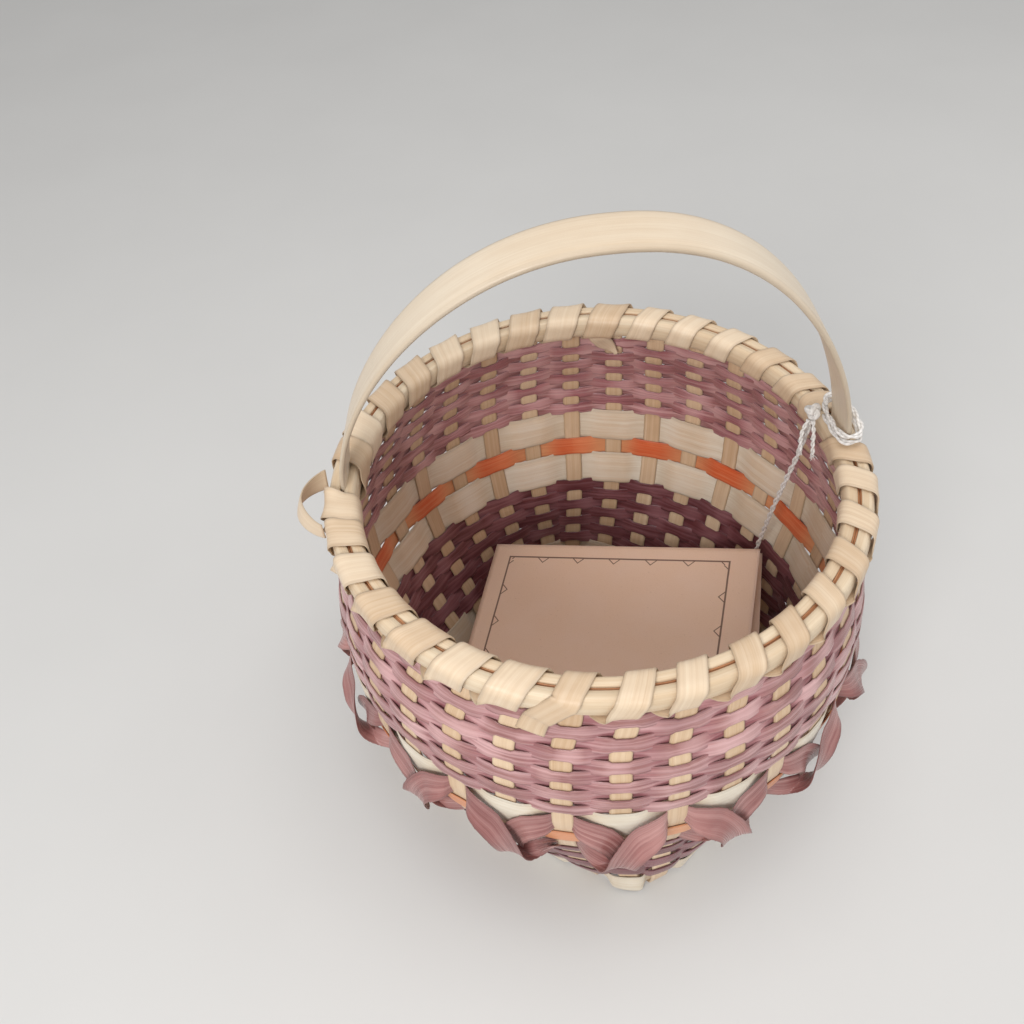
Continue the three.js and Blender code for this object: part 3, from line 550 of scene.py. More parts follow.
def carried_sides(path):
    """Two directions across a line, carried along it without a twist."""
    travel = unit(np.gradient(path, axis=0))
    lead = np.cross(travel[0], (0.3, 0.2, 1.0))
    side = np.zeros_like(path)
    for i, t in enumerate(travel):
        side[i] = lead = unit(lead - t * np.dot(lead, t))
    return side, np.cross(travel, side)


def tube_parts(path, radius, sides=10, tone=0.5):
    """A part: a tube with flat ends."""
    side, other = carried_sides(path)
    radius = np.broadcast_to(np.asarray(radius, float), len(path))
    turn = np.arange(sides) * 2 * np.pi / sides
    ring = side[:, None] * np.cos(turn)[None, :, None] + other[:, None] * np.sin(turn)[None, :, None]
    points = (path[:, None] + ring * radius[:, None, None]).reshape(-1, 3)
    along = length_along(path) * MM
    wrap = np.arange(sides + 1) / sides * 2 * np.pi * float(radius.mean()) * MM
    i, j, _, faces = grid(len(path), sides, False)
    faces = [[a, d, c, b] for a, b, c, d in faces]
    uvs = [corner_uvs(along, wrap, i, j, j + 1).reshape(-1, 4, 2)[:, [0, 3, 2, 1]].reshape(-1, 2)]
    for i in (0, len(path) - 1):
        faces.append([i * sides + j for j in (range(sides) if i else range(sides - 1, -1, -1))])
        uvs.append(np.column_stack([np.full(sides, along[i]), wrap[:-1]]))
    return points, faces, uvs, np.tile([0.0, tone, 0.0], (len(points), 1))


def twisted(path, diameter, pitch=15.0):
    """Two strands laid round each other along a dense path."""
    side, other = carried_sides(path)
    along = length_along(path)
    parts = []
    for strand in range(2):
        turn = along / pitch * 2 * np.pi + strand * np.pi
        line = path + (side * np.cos(turn)[:, None] + other * np.sin(turn)[:, None]) * (diameter / 4)
        parts.append(tube_parts(line, diameter / 4))
    return parts


def loop_point(turn):
    """A place on the string's loop, turn by turn round the handle's right foot."""
    out, side = ring_unit(gap_azimuth(0)), ring_unit(gap_azimuth(0) + 90)
    angle = turn * 2 * math.pi + math.radians(KNOT_TURN)
    room = STRING_GAP + STRING / 2
    reach = signed_power(math.cos(angle), LOOP_POWER) * (HANDLE_THICK / 2 + room + LOOP_SLACK / 2)
    drift = signed_power(math.sin(angle), LOOP_POWER) * (HANDLE_FOOT_WIDTH / 2 + room + LOOP_SHIFT)
    point = out * (HANDLE_RADIUS + reach) + side * drift
    point[2] = LOOP_LOW + turn * LOOP_RISE
    return point


KNOT = loop_point(1.0) - ring_unit(gap_azimuth(0)) * (KNOT_RADIUS + STRING / 2 + STRING_GAP)


def from_knot(towards):
    """Where a string that goes towards a place leaves the knot."""
    return KNOT + unit(np.asarray(towards, float) - KNOT) * (KNOT_RADIUS + STRING_GAP / 2)


def knot_parts(centre, size, strand, tilt, seed):
    """An overhand knot pulled tight: a trefoil of string that fills a ball."""
    t = np.linspace(0, 2 * np.pi, 97)[:-1]
    x, y = np.sin(t) + 2 * np.sin(2 * t), np.cos(t) - 2 * np.cos(2 * t)
    line = np.column_stack([x, y, -1.5 * np.sin(3 * t)])
    line = line / np.abs(line).max() * (size - strand / 2)
    spin = np.array(Matrix.Rotation(tilt, 3, "X") @ Matrix.Rotation(tilt * 1.7 + seed, 3, "Z"))
    line = line @ spin.T + centre
    return tube_parts(np.vstack([line, line[:1]]), strand / 2)


def frayed_end(tip, way, count, length, seed):
    """Loose fibres at the cut end of a string."""
    rng = np.random.default_rng(seed)
    parts = []
    for _ in range(count):
        lean = unit(way + rng.normal(0, 0.35, 3))
        start = tip + rng.normal(0, 0.28, 3)
        bend = start + lean * length * 0.5
        end = bend + (lean + rng.normal(0, 0.25, 3)) * length * rng.uniform(0.3, 0.55)
        parts.append(tube_parts(smooth_line([start, bend, end], 4), np.linspace(0.2, 0.08, 9), 5))
    return parts


def add_string():
    low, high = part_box("string_end_knot")
    end_knot_at = np.array((low + high) / 2) / MM
    hole = end_knot_at + np.array([0, 0, END_KNOT_RADIUS + STRING_GAP])
    run_line = smooth_line([from_knot(STRING_ROUTE[0]), *STRING_ROUTE, hole], 14)
    knots = [knot_parts(KNOT, size=3.7, strand=2.2, tilt=0.7, seed=1),
             knot_parts(KNOT, size=3.0, strand=2.0, tilt=2.1, seed=2)]
    knot = add_parts("string_knot_tied", knots, COTTON, "string_knot")
    end_knots = [knot_parts(end_knot_at, END_KNOT_RADIUS, strand=1.7, tilt=1.2, seed=3)]
    end_knot = add_parts("string_end_knot_tied", end_knots, COTTON, "string_end_knot")
    run = add_parts("string_run_twisted", twisted(run_line, STRING), COTTON, "string_run")
    loop_line = np.array([loop_point(t) for t in np.linspace(0, 2, 129)])
    loop = add_parts("string_loop_twisted", twisted(loop_line, STRING), COTTON, "string_loop")
    for i, tail in enumerate(TAIL_ROUTES):
        line = smooth_line([from_knot(tail[0]), *tail], 12)
        parts = twisted(line, 1.8, 6.0) + frayed_end(line[-1], line[-1] - line[-4], 9, 2.6, 20 + i)
        add_parts(f"string_tail_frayed_{i + 1}", parts, COTTON, f"string_tail_{i + 1}")


add_string()


# Base splints and stakes
STAKE_SWAY, STAKE_FROM = 0.25, 5.5


def stack_rows():
    rows, low = [], FIRST_ROW
    for band, count, height in BANDS:
        for i in range(count):
            name = f"{band}_{i + 1}" if count > 1 else band
            rows.append({"name": name, "band": band, "low": low, "high": low + height - ROW_GAP})
            low += height
    return rows


ROWS = stack_rows()
ROW_MIDS = np.array([(row["low"] + row["high"]) / 2 for row in ROWS])


def stake_sway(stake, z):
    """Stakes give a little away from each weaver that crosses them."""
    signs = np.where((stake + np.arange(len(ROWS))) % 2 == 0, 1.0, -1.0)
    return np.interp(z, ROW_MIDS, signs * STAKE_SWAY, left=0, right=0)


def stake_line(stake, sign):
    """Centre, across and face (into the basket) of a stake from the foot up."""
    z = np.concatenate([np.linspace(STAKE_FROM, 160, 110), np.linspace(161.5, STAKE_TOP, 5)])
    azimuth = stake_azimuth(stake, z)
    normal = wall_normal(azimuth, z)
    across = unit(np.cross((0.0, 0, 1), normal)) * sign
    return off_wall(azimuth, z, stake_sway(stake, z)), across, -normal


def splint_line(way, index):
    """Centre, across and face of a splint: down one stake, over and under the base, up the other."""
    along, side = ring_unit(BASE_TURN + 45 + 90.0 * way), ring_unit(BASE_TURN + 135 + 90.0 * way)
    far = way * PER_SIDE + index
    near = (way + 2) * PER_SIDE + (PER_SIDE - 1 - index)
    x = np.linspace(-BASE_REACH, BASE_REACH, 140)
    weave = 1.6 * np.cos(np.pi * (x / SPLINT_PITCH + (PER_SIDE - 1) / 2 + index))
    flat = along * x[:, None] + side * splint_offset(index)
    flat[:, 2] = BASE_LEVEL + BASE_LIFT * np.clip(weave, -1, 1)
    up, sides = np.tile([0.0, 0, 1], (len(x), 1)), np.tile(side, (len(x), 1))
    far_c, far_a, far_f = stake_line(far, 1.0)
    near_c, near_a, near_f = (line[::-1] for line in stake_line(near, -1.0))
    t = np.linspace(0, 1, 11)[1:-1, None]

    def bend(start, stake, end):
        corner = on_wall(stake_azimuth(stake, BASE_LEVEL), BASE_LEVEL)
        return (1 - t) ** 2 * start + 2 * t * (1 - t) * corner + t ** 2 * end

    def turn(a, b):
        return unit(mix(a, b, t))

    centre = np.vstack([near_c, bend(near_c[-1], near, flat[0]), flat, bend(flat[-1], far, far_c[0]), far_c])
    across = np.vstack([near_a, turn(near_a[-1], side), sides, turn(side, far_a[0]), far_a])
    face = np.vstack([near_f, turn(near_f[-1], up[0]), up, turn(up[0], far_f[0]), far_f])
    return centre, across, unit(face - across * (face * across).sum(1)[:, None])


def add_splints():
    for way in range(2):
        for index in range(PER_SIDE):
            centre, across, face = splint_line(way, index)
            seed = way * 10 + index
            along = np.arange(len(centre)) * 1.5
            width = SPLINT_WIDTH + 0.12 * waver(along, seed)
            tone = 0.5 + 0.4 * waver(along, seed + 50, (120, 210, 330))
            node = f"base_splint_{'ab'[way]}{index + 1}"
            parts = strip_parts(centre, across, face, width, SPLINT_THICK, tone=tone, frayed=0.03, seed=seed)
            add_parts(f"{node}_wood", [parts], NATURAL, node)


add_splints()

# Woven rows

# How a band is woven: reach outside and inside, flat beside a stake, what its rows are widened by on a
# stake outside, on a stake inside and between stakes, flare of the lower edge, material
STYLE = {
    "foot_row": (1.0, 0.9, 4.8, 2.6, 1.7, 2.2, 1.7, PALE),
    "plum_row": (0.8, 0.8, 3.8, 1.6, 0.4, 2.3, 0, PLUM),
    "lower_wide_row": (0.95, 1.3, 4.6, 2.0, 2.2, 2.2, 0, PALE),
    "orange_row": (0.9, 0.85, 4.4, 1.4, 0.5, 1.0, 0, ORANGE),
    "upper_wide_row": (0.95, 1.3, 4.6, 2.0, 2.2, 2.2, 0, PALE),
    "mauve_row": (0.85, 0.8, 3.6, 0.7, 0.0, 2.6, 0, MAUVE),
}
PER_GAP = 14
# A row's width on a stake holds this far from the stake's middle, then changes over the next stretch
ON_STAKE, ON_STAKE_FADE = 3.5, 1.2
LOWEST_EDGE = 1.7


def add_row(number, row):
    out, inside, flat, wider_out, wider_in, wider_between, flare, material = STYLE[row["band"]]
    s = np.arange(STAKES * PER_GAP) / PER_GAP
    k = np.floor(s).astype(int)
    share = s - k
    turn = s / STAKES * 2 * np.pi
    mid = (row["low"] + row["high"]) / 2
    at, after = on_wall(stake_azimuth(k, mid), mid), on_wall(stake_azimuth(k + 1, mid), mid)
    span = np.linalg.norm(after - at, axis=1)
    crossing = ease((share * span - flat) / np.maximum(span - 2 * flat, 1.0))
    here, there = (np.where((stake + number) % 2 == 0, -inside, out) for stake in (k, k + 1))
    press = 1 + 0.2 * np.clip(1 - mid / 60, 0, 1)
    offset = mix(here, there, crossing) * press + 0.12 * ripple(turn, number, (5, 11, 17))
    width = row["high"] - row["low"]
    on_stake = 1 - ease((np.minimum(share, 1 - share) * span - ON_STAKE) / ON_STAKE_FADE)
    wide = width + mix(wider_between, np.where(offset > 0, wider_out, wider_in), on_stake)
    wide += (0.16 + 0.012 * width) * ripple(turn, number + 40, (3, 8, 13, 21, 34))
    shift = (0.26 + 0.006 * width) * ripple(turn, number + 80, (2, 5, 9, 16, 27))
    low_z, high_z = np.maximum(mid - wide / 2 + shift, LOWEST_EDGE), mid + wide / 2 + shift
    flared = offset + flare * ease((offset + 0.3) / (out + 0.3))
    low = off_wall(between_stakes(s, low_z), low_z, flared)
    high = off_wall(between_stakes(s, high_z), high_z, offset)
    centre, across = (low + high) / 2, unit(high - low)
    travel = unit(np.roll(centre, -1, 0) - np.roll(centre, 1, 0))
    face = unit(np.cross(travel, across))
    # Share towards the outer face, which picks the outside colour that is partly painted light.
    side = np.clip(offset / out * 0.5 + 0.5, 0, 1)
    # The tone differs at random from pass to pass; its quicker waves also lay painted sheen highlights along
    # the rows.
    tone = 0.5 + 0.3 * ripple(turn, number + 120, (1, 2, 4, 7))
    tone += 0.4 * ripple(turn, number + 160, (15, 19, 27, 33))
    cup = 0.08 * offset / max(out, inside)
    parts = strip_parts(centre, across, face, np.linalg.norm(high - low, axis=1), WEAVER_THICK, closed=True,
                        cup=cup, tone=tone, side=side, frayed=0.025, seed=number)
    add_parts(f"{row['name']}_wood", [parts], material, row["name"])


for number, row in enumerate(ROWS):
    add_row(number, row)


# Rim
HOOP_STEPS, HOOP_WOBBLE = 240, 0.12
CROWN_SHARE, SLOT_LIP = 0.58, 1.35
FILLER_END, FILLER_BELOW_RIM = 6.8, 1.0
# The three reeds of the filler: place across the slot and height
REEDS = ((-0.42, -0.35), (0.4, -0.3), (0.0, -1.1))


def ring_body(profile, seed):
    """A closed ring swept from a closed profile of (radius, z) places."""
    profile = np.asarray(profile, float)
    corners = len(profile)
    turn = np.arange(HOOP_STEPS + 1) * 2 * np.pi / HOOP_STEPS
    along, turn = turn * profile[:, 0].mean() * MM, turn[:-1]
    radius = profile[None, :, 0] + HOOP_WOBBLE * ripple(turn, seed, (3, 7, 12))[:, None]
    height = profile[None, :, 1] + 0.5 * HOOP_WOBBLE * ripple(turn, seed + 1, (2, 5, 9))[:, None]
    points = polar(np.degrees(turn)[:, None], radius, height)
    around = length_along(np.vstack([profile, profile[:1]])) * MM
    i, j, _, faces = grid(HOOP_STEPS, corners, True)
    tone = np.repeat((0.5 + 0.4 * ripple(turn, seed + 1, (1, 3, 5)))[:, None], corners, 1)
    data = np.stack([tone * 0, tone, tone * 0], -1).reshape(-1, 3)
    return points.reshape(-1, 3), faces, [corner_uvs(along, around, i, j, j + 1)], data


def hoop_profile(flat, crown):
    """Half-round hoop with its flat side in the slot and a lip over the stakes."""
    sense, deep = np.sign(crown - flat), abs(crown - flat)
    half = HOOP_HEIGHT / 2
    turn = np.linspace(-np.pi / 2, np.pi / 2, 13)
    reach = flat + sense * deep * (1 - CROWN_SHARE + CROWN_SHARE * np.cos(turn))
    rounded = zip(reach, RIM_MIDDLE + half * np.sin(turn))
    lip = flat - sense * SLOT_LIP
    return [(flat + sense * 0.1, RIM_BOTTOM + 0.25), *rounded, (lip + sense * 0.3, RIM_TOP - 0.05),
            (lip, RIM_TOP - 0.4), (lip, RIM_TOP - 1.9), (flat, RIM_TOP - 2.3), (flat, RIM_MIDDLE)]


def add_hoops():
    for name, flat, crown, seed in (("inner_rim_hoop", INNER_HOOP_OUTSIDE, INNER_HOOP_INSIDE, 5),
                                    ("outer_rim_hoop", HOOP_INSIDE, HOOP_OUTSIDE, 7)):
        add_parts(f"{name}_wood", [ring_body(hoop_profile(flat, crown), seed)], HOOP, name)


def add_fillers():
    right, left = (gap_azimuth(gap) for gap in HANDLE_GAPS)
    spans = {"rim_filler_back": (right, left), "rim_filler_front": (left, right + 360)}
    slot_middle = (INNER_HOOP_OUTSIDE + HOOP_INSIDE) / 2
    for number, (name, (start, end)) in enumerate(spans.items()):
        parts = []
        for reed, (shift, height) in enumerate(REEDS):
            azimuth = np.linspace(start + FILLER_END, end - FILLER_END, 160)
            radius = slot_middle + shift + 0.15 * waver(azimuth, reed + 9 * number, (13, 29, 47))
            rise = 0.18 * waver(azimuth, reed + 30 + 9 * number, (11, 23, 41))
            line = polar(azimuth, radius, RIM_TOP - FILLER_BELOW_RIM + height + rise)
            parts.append(tube_parts(line, 0.4, 8, tone=0.3 + 0.25 * reed))
        add_parts(f"{name}_reeds", parts, REED, name)


add_hoops()
add_fillers()

# Lashing

# The two strips: name, gap where it starts, width, whether its end lies down the wall, and seed
LASHINGS = (("rim_lashing_right", 38, 10.6, True, 11), ("rim_lashing_left", 22, 13.6, False, 12))
LASHING_TURNS, TURN_STEPS, STRIP_THICK = 16, 44, 0.7
WRAP_MID_R = (HOOP_OUTSIDE + INNER_HOOP_INSIDE) / 2
WRAP_R, WRAP_Z, WRAP_POWER_R, WRAP_POWER_Z = 6.72, 5.82, 0.62, 0.55
# The share of a gap that a turn takes evenly, and the share of the turn after which it takes the rest
WRAP_SLANT, WRAP_LATE = 0.82, 0.86
STEP_ASIDE = 3.4
LOOP_FROM, LOOP_TO, LOOP_WIDTH, LOOP_BULGE, LOOP_OFF_HOOP = 172.5, 187.5, 9.6, 9, 2.4


def aside(gap):
    """How far a turn steps aside, in degrees, to clear the handle's foot."""
    if gap % STAKES in HANDLE_GAPS:
        return -STEP_ASIDE
    return STEP_ASIDE if gap % STAKES - 1 in HANDLE_GAPS else 0.0


def wrap_section(slack):
    """Radius and height round both hoops, in even steps, from below and up inside."""
    angle = -np.pi / 2 - np.linspace(0, 2 * np.pi, 721)
    c, s = np.cos(angle), np.sin(angle)
    r = WRAP_MID_R + (WRAP_R + slack * np.clip(c, 0, 1)) * signed_power(c, WRAP_POWER_R)
    z = RIM_MIDDLE + (WRAP_Z + slack * 0.4 * np.clip(s, 0, 1)) * signed_power(s, WRAP_POWER_Z)
    far = length_along(np.column_stack([r, z]))
    t = np.arange(TURN_STEPS) / TURN_STEPS
    return t, np.interp(t * far[-1], far, r), np.interp(t * far[-1], far, z)


def wrap_places(first_gap, lies_down, seed):
    """Places of a lashing strip: round both hoops once for each gap between stakes."""
    rng = np.random.default_rng(seed)
    spots, tones = [], []
    for gap in range(first_gap, first_gap - LASHING_TURNS, -1):
        tones += [rng.uniform(0, 1)] * TURN_STEPS
        t, r, z = wrap_section(rng.uniform(0.0, 0.4))
        nudge = rng.uniform(-0.5, 0.5)
        late = ease((t - WRAP_LATE) / (1 - WRAP_LATE)) * (1 - WRAP_SLANT)
        azimuth = gap_azimuth(gap) - (t * WRAP_SLANT + late) * GAP_STEP
        spots.append(np.column_stack([azimuth + np.sin(np.pi * t) ** 2 * (aside(gap) + nudge), r, z]))
    azimuth, r, z = np.vstack(spots)[3:-2].T
    line = polar(azimuth, r, z)
    face = unit(polar(azimuth, -np.gradient(z), np.gradient(r)))
    if lies_down:
        line, face = lay_tail(line, face, azimuth[-1])
    return line, face, tones


def lay_tail(line, face, azimuth):
    """The end comes out under the outer hoop and lies down the wall."""
    line, face = line[:-12], face[:-12]
    end = azimuth - 3.2
    drops = ((1.5, 1.8, 5.2), (5, 1.0, 3.6), (9, 0.2, 3.2), (13, -0.4, 3.1))
    stops = [off_wall(end + shift, RIM_BOTTOM - drop, off) for drop, shift, off in drops]
    extra = smooth_line([line[-1], *stops], 7)[1:]
    normal = np.tile(wall_normal(end, RIM_BOTTOM - 6), (len(extra), 1))
    return np.vstack([line, extra]), np.vstack([face, normal])


def tucked_tail():
    """The first end hangs a little way down inside, over the top rows."""
    azimuth = np.array([83.0, 82.0, 80.4, 78.6, 77.2])
    z, off = np.array([166, 161, 156.5, 152.5, 149.5]), np.array([-6.0, -5.6, -3.6, -2.6, -3.4])
    line = smooth_line(off_wall(azimuth, z, off), 8)
    hint = -wall_normal(80.0, 155.0)
    across, face = frames_along(line, hint)
    width = 8.6 * (1 - 0.75 * ease((np.linspace(0, 1, len(line)) - 0.45) / 0.55))
    return strip_parts(line, across, face, width, 0.55, cup=0.4, tone=0.1, frayed=0.08, seed=35)


def add_lashing(name, first_gap, width, lies_down, seed):
    line, hint, tones = wrap_places(first_gap, lies_down, seed)
    across, face = frames_along(line, hint)
    count = np.arange(len(line))
    width += 0.6 * waver(count, seed, (40, 61, 97))
    tones = np.array(tones)[np.minimum(count + 3, len(tones) - 1)]
    tone = np.convolve(np.pad(tones, 8, mode="edge"), np.ones(17) / 17, "valid")
    parts = [strip_parts(line, across, face, width, STRIP_THICK, cup=0.15, tone=tone, frayed=0.03, seed=seed)]
    if lies_down:
        parts.append(tucked_tail())
    add_parts(f"{name}_wood", parts, LASHING, name)


def add_lashing_loop():
    """One loose turn that stands off beside the handle's left foot."""
    steps = np.linspace(0, 1, 60)
    arch = np.sin(np.pi * steps)
    azimuth = mix(LOOP_FROM, LOOP_TO, steps)
    radius = HOOP_OUTSIDE + LOOP_OFF_HOOP + LOOP_BULGE * arch ** 0.8
    line = polar(azimuth, radius, RIM_MIDDLE + 1.6 * arch)
    across, face = frames_along(line, unit(polar(azimuth, 1.0, 0.35 * arch)))
    parts = strip_parts(line, across, face, LOOP_WIDTH, STRIP_THICK, cup=0.25, tone=0.1, frayed=0.03, seed=33)
    add_parts("lashing_loop_wood", [parts], LASHING, "lashing_loop")


for lashing in LASHINGS:
    add_lashing(*lashing)
add_lashing_loop()

# Handle
RISE, SHIFT, SIDE_POWER, CROWN_POWER = 100, 7.5, 0.91, 1.23
HANDLE_WIDTH, CROWN_THICK, WIDENING, THICKENING = 22.0, 2.8, 3, 1.2
ARCH_STEPS, FOOT_STEPS, FOOT_CLEAR = 190, 12, 0.4
SPLINTER_AT = 46


def handle_line():
    """Centre of the handle from foot to foot, and the share of the rise at each place."""
    right, left = (ring_unit(gap_azimuth(gap)) * HANDLE_RADIUS for gap in HANDLE_GAPS)
    turn = np.linspace(0, np.pi, ARCH_STEPS)
    rise = np.abs(np.sin(turn)) ** CROWN_POWER
    arch = (right + left) / 2 + (right - left) / 2 * signed_power(np.cos(turn), SIDE_POWER)[:, None]
    arch[:, 2] = RIM_TOP + RISE * rise
    arch[:, 0] += SHIFT * rise ** 2
    foot_z = np.linspace(RIM_BOTTOM + FOOT_CLEAR, RIM_TOP - FOOT_CLEAR, FOOT_STEPS)
    feet = [np.tile(foot, (FOOT_STEPS, 1)) for foot in (right, left)]
    feet[0][:, 2], feet[1][:, 2] = foot_z, foot_z[::-1]
    return np.vstack([feet[0], arch, feet[1]]), np.pad(rise, FOOT_STEPS)


def add_handle():
    line, rise = handle_line()
    share = np.linspace(0, 1, len(line))
    right, left = (gap_azimuth(gap) for gap in HANDLE_GAPS)
    across = unit(mix(ring_unit(right + 90), ring_unit(left - 90), share[:, None]))
    travel = unit(np.gradient(line, axis=0))
    across = unit(across - travel * (across * travel).sum(1)[:, None])
    face = np.cross(travel, across)
    width = mix(HANDLE_FOOT_WIDTH, HANDLE_WIDTH, np.clip(rise * WIDENING, 0, 1))
    width += 0.25 * waver(share * 300, 4, (60, 110))
    thick = mix(HANDLE_THICK, CROWN_THICK, np.clip(rise * THICKENING, 0, 1))
    tone = 0.4 + 0.3 * waver(share * 300, 6, (90, 170))
    parts = [strip_parts(line, across, face, width, thick, tone=tone, frayed=0.02, seed=3)]
    at = SPLINTER_AT
    root = line[at] + across[at] * width[at] * 0.49
    parts.append(splinter(root, travel[at], across[at], face[at]))
    add_parts("handle_wood", parts, STRAP, "handle")


def splinter(root, travel, across, face):
    """A sliver lifted from the handle's edge."""
    lift = np.linspace(0, 1, 9)[:, None]
    line = root + lift * (travel * -6.0 + across * 2.2) + lift ** 2 * face * 0.8
    sides = frames_along(line, face)
    return strip_parts(line, *sides, 0.9 * (1 - lift[:, 0]) + 0.15, 0.3, tone=0.1, seed=36)


add_handle()


# Curls

# Half a wave of a curl: for its upper and lower edge, millimetres from the high tuck, height and
# hundredths of the bulge, or, below zero, tenths of a millimetre behind the wall
LIMB = np.array([
    [(3.2, 99.7, -2), (3.2, 87.6, 3)],
    [(6.5, 98.6, 10), (5.6, 87.2, 52)],
    [(12, 96.5, 20), (9.2, 85.3, 78)],
    [(17.8, 93.5, 28), (12.6, 82.3, 90)],
    [(22.5, 88.5, 56), (14.8, 79.0, 97)],
    [(26.0, 82.0, 82), (16.2, 74.2, 98)],
    [(28.0, 75.5, 100), (17.0, 69.0, 95)],
    [(29.6, 70.5, 97), (18.4, 65.6, 82)],
    [(31.6, 66.2, 78), (21.0, 66.2, 60)],
    [(34.4, 63.2, 51), (26.0, 69.8, 40)],
    [(37.0, 61.3, 22), (32.0, 72.4, 17)],
    [(39.2, 60.6, -2), (38, 73.1, -3)],
], float)
HIGH_TUCK = np.array([[(0, 100, -9), (0, 87.5, -9)]], float)
LOW_TUCK = np.array([[(43, 60.3, -9), (43, 73.2, -9)]], float)
LIMB_RUN, LIMB_STAKES = 43.0, 2
CURL_THICK, CURL_CUP, CURL_FREE_CUP = 0.55, 0.15, 1.3
TORN_PLACE, TORN_HEIGHT, SLIVERS = 21.84, 68.5, 9


def curl_stops(starts_high, bulge, rng):
    """Stops of both edges round the basket: (place in stakes, z, offset)."""
    every = []
    for number in range(STAKES // LIMB_STAKES):
        from_high = (number % 2 == 0) == starts_high
        limb = LIMB.copy()
        body = np.hanning(len(limb) + 2)[1:-1][:, None]
        limb[..., 0] += body * rng.normal(0, 0.9)
        limb[..., 1] += body * rng.normal(0, 0.8)
        limb[..., 2] *= 1 + 0.06 * rng.normal()
        limb = np.concatenate([HIGH_TUCK, limb] if from_high else [LOW_TUCK, limb[::-1]])
        run = limb[..., 0] / LIMB_RUN * LIMB_STAKES
        place = number * LIMB_STAKES + (run if from_high else LIMB_STAKES - run)
        offset = np.where(limb[..., 2] < 0, limb[..., 2] * 0.1, limb[..., 2] * 0.01 * bulge)
        every.append(np.stack([place, limb[..., 1], offset], -1))
    return np.concatenate(every).reshape(-1, 6)


def torn_end(rng):
    """A fan of torn slivers where a strip ends beside a stake."""
    slivers = []
    for i in range(SLIVERS):
        spread = mix(-10, 9, i / (SLIVERS - 1)) + rng.uniform(-1, 1)
        reach = 6.5 + rng.uniform(-1.2, 2.0) - 0.25 * abs(i - 4)
        steps = np.linspace(0, 1, 8)
        places = TORN_PLACE - steps * reach / 20
        heights = TORN_HEIGHT + spread * 0.45 + steps * spread * 0.75
        azimuth = between_stakes(places, heights)
        line = off_wall(azimuth, heights, 1.2 + 3.4 * steps ** 1.3 + (0.3 * i) % 2)
        across, face = frames_along(line, wall_normal(azimuth, heights))
        slivers.append(strip_parts(line, across, face, 1.7 * (1 - steps) + 0.25, 0.3, tone=0.05, seed=70 + i))
    return slivers


def add_curl(name, node, starts_high, bulge, seed):
    rng = np.random.default_rng(seed)
    stops = curl_stops(starts_high, bulge, rng)
    lap = np.array([STAKES, 0, 0, STAKES, 0, 0])
    before, steps = 3, 6
    doubled = np.vstack([stops[-before:] - lap, stops, stops[:before + 1] + lap])
    dense = smooth_line(doubled, steps)[before * steps: (before + len(stops)) * steps]
    upper, lower = (off_wall(between_stakes(place, z), z, offset)
                    for place, z, offset in (dense[:, :3].T, dense[:, 3:].T))
    centre, across = (upper + lower) / 2, unit(upper - lower)
    travel = unit(np.roll(centre, -1, 0) - np.roll(centre, 1, 0))
    face = unit(np.cross(across, travel))
    turn = dense[:, 0] / STAKES * 2 * np.pi
    tone = 0.45 + 0.45 * ripple(turn, seed + 5, (4, 7, 16))
    cup = CURL_CUP + CURL_FREE_CUP * ease(dense[:, 2] / 4)
    parts = [strip_parts(centre, across, face, np.linalg.norm(upper - lower, axis=1), CURL_THICK, closed=True,
                         cup=cup, tone=tone, frayed=0.09, seed=seed)]
    if not starts_high:
        parts += torn_end(rng)
    add_parts(name, parts, CURL, node)


add_curl("curl_high_wood", "curl_strip_high", starts_high=True, bulge=11.0, seed=61)
add_curl("curl_low_wood", "curl_strip_low", starts_high=False, bulge=6.3, seed=62)


# Card
CARD_WIDTH, CARD_LOWER_WIDTH, CARD_HEIGHT, CARD_THICK, FOLD_GAP = 140, 139.7, 108, 0.6, 0.3
CARD_CORNER = np.array([-44, 81.6, 37.0])
CARD_ACROSS, CARD_ALONG = (0.926, -0.316, 0.204), (-0.303, -0.949, -0.093)
CARD_OPENING, CARD_SKEW = 5.5, 3.2
PAPER_THICK, CORNER_LIFT = 0.42, 1.1
HOLE_INSET, HOLE_RADIUS = 3.4, 1.6
COLUMNS, LINES = 56, 44


def turned(vector, axis, degrees):
    """A vector turned about a unit axis."""
    c, s = math.cos(math.radians(degrees)), math.sin(math.radians(degrees))
    return vector * c + np.cross(axis, vector) * s + axis * np.dot(axis, vector) * (1 - c)


def upward(across, along):
    up = unit(np.cross(along, across))
    return up if up[2] > 0 else -up


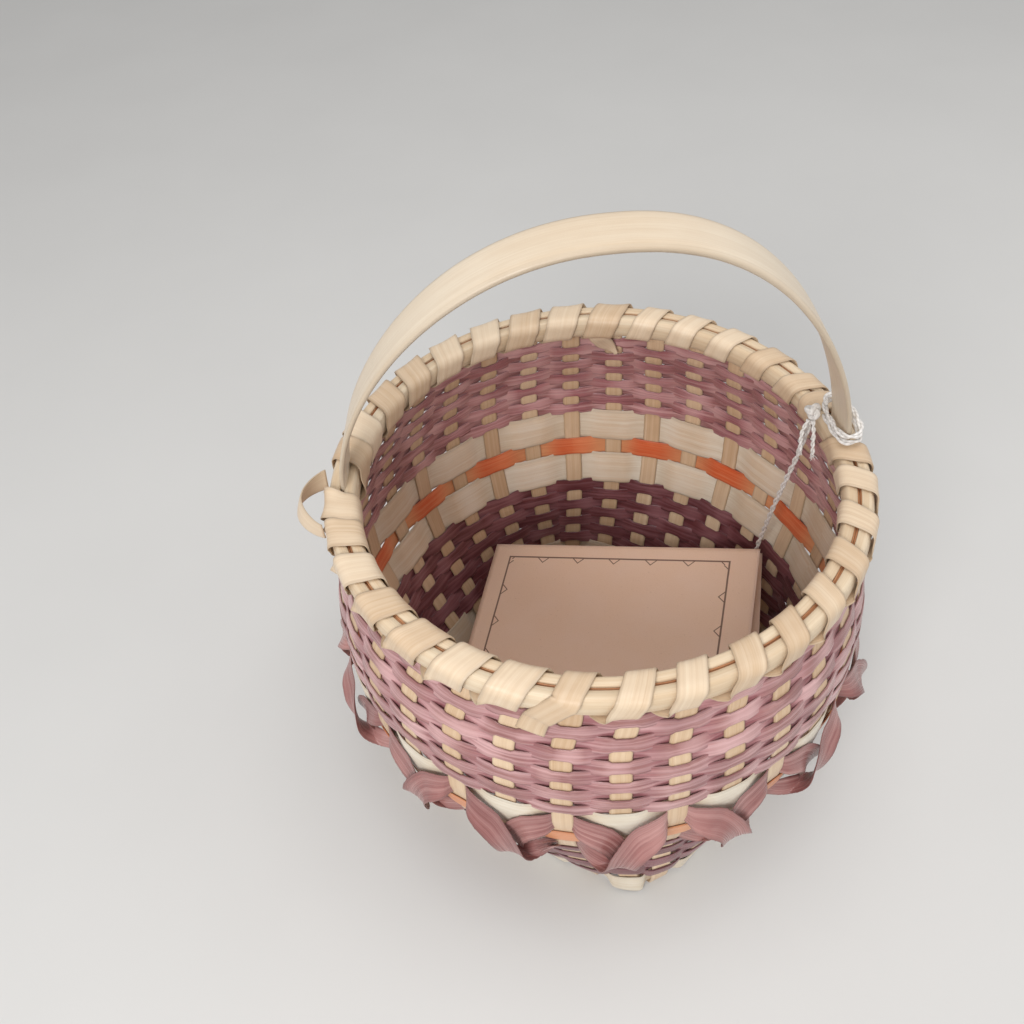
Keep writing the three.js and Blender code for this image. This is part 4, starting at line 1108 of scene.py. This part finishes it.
def add_leaf(node, middle, across, along, up, width, is_cover, body):
    """A leaf of card as a fine sheet: x away from the fold, y along it; the lower leaf has the hole."""
    xs, ys = np.linspace(FOLD_GAP, width, COLUMNS), np.linspace(0, CARD_HEIGHT, LINES)
    gx, gy = np.meshgrid(xs, ys, indexing="ij")
    corner = np.clip((gx - 120) / 20, 0, 1) ** 2 * np.clip((gy - 88) / 20, 0, 1) ** 2
    height = CORNER_LIFT * is_cover * corner
    # Painted highlight: rim rises in a thin band along the outer edges, where the paper is painted paler as
    # if its edge caught the light.
    rim = np.maximum(gx / width, np.maximum(gy, CARD_HEIGHT - gy) / CARD_HEIGHT) ** 60
    points, data = [], []
    for level, ruled in ((PAPER_THICK / 2, float(is_cover)), (-PAPER_THICK / 2, 0.0)):
        sheet = middle + gx[..., None] * across + gy[..., None] * along + (height + level)[..., None] * up
        points.append(sheet.reshape(-1, 3))
        data.append(np.stack([rim, rim * 0, np.full_like(rim, ruled)], -1).reshape(-1, 3))
    total = COLUMNS * LINES
    hole = np.array([width - HOLE_INSET, HOLE_INSET])
    faces = []
    for i in range(COLUMNS - 1):
        for j in range(LINES - 1):
            spot = np.array([(xs[i] + xs[i + 1]) / 2, (ys[j] + ys[j + 1]) / 2])
            if is_cover or np.linalg.norm(spot - hole) >= HOLE_RADIUS:
                a, b = i * LINES + j, (i + 1) * LINES + j
                faces.append([a, b, b + 1, a + 1])
                faces.append([a + 1 + total, b + 1 + total, b + total, a + total])
    edge = [i * LINES for i in range(COLUMNS)] + [(COLUMNS - 1) * LINES + j for j in range(1, LINES)]
    edge += [i * LINES + LINES - 1 for i in range(COLUMNS - 2, -1, -1)] + list(range(LINES - 2, 0, -1))
    faces += [[b, a, a + total, b + total] for a, b in zip(edge, edge[1:] + edge[:1])]
    flat = np.column_stack([gx.ravel(), gy.ravel()]) * MM
    uvs = [flat[np.array(faces).ravel() % total]]
    leaf = (np.vstack(points), faces, uvs, np.vstack(data))
    add_parts(f"{node}_paper", [leaf], PAPER, node, body)


def add_card():
    across = unit(np.array(CARD_ACROSS))
    along = np.array(CARD_ALONG)
    along = unit(along - across * along.dot(across))
    up = upward(across, along)
    above = CARD_CORNER + up * (FOLD_GAP + CARD_THICK / 2)
    add_leaf("card_cover", above, across, along, up, CARD_WIDTH, True, "card_leaf")
    opened = turned(across, along, -CARD_OPENING)
    up = upward(opened, along)
    across, along = turned(opened, up, CARD_SKEW), turned(along, up, CARD_SKEW)
    below = CARD_CORNER - up * CARD_THICK / 2
    add_leaf("card_back", below, across, along, up, CARD_LOWER_WIDTH, False, "basket")


add_card()

# Floor and light, in metres
FLOOR_HALF, FLOOR_DROP = 3, 0.0004


def add_floor():
    mesh = bpy.data.meshes.new("floor")
    h = FLOOR_HALF
    mesh.from_pydata([(-h, -h, 0), (h, -h, 0), (h, h, 0), (-h, h, 0)], [], [(0, 1, 2, 3)])
    floor = bpy.data.objects.new("floor", mesh)
    floor.location.z = -FLOOR_DROP
    mesh.materials.append(floor_material())
    scene.collection.objects.link(floor)


def add_light(name, place, target, size, power, tint=(1, 1, 1)):
    data = bpy.data.lights.new(name, "AREA")
    data.shape, data.size, data.energy, data.color = "DISK", size, power, tint
    light = bpy.data.objects.new(name, data)
    light.location = place
    way = Vector(target) - Vector(place)
    light.rotation_euler = way.to_track_quat("-Z", "Y").to_euler()
    scene.collection.objects.link(light)


def add_world():
    world = bpy.data.worlds.new("studio")
    world.use_nodes = True
    back = world.node_tree.nodes["Background"]
    back.inputs[0].default_value = (1.0, 1.0, 1.0, 1)
    back.inputs[1].default_value = 0.5
    scene.world = world


add_floor()
add_world()
add_light("key", (-0.42, -0.95, 0.85), (0, 0.03, 0.12), size=0.6, power=10.0, tint=(1.0, 0.99, 0.98))
add_light("top", (0.05, -0.1, 1.3), (0, 0, 0.1), size=0.8, power=4.8)
add_light("fill", (0.9, 0.1, 0.7), (0, 0, 0.1), size=1.0, power=1.8)
scene.view_settings.view_transform = "Standard"
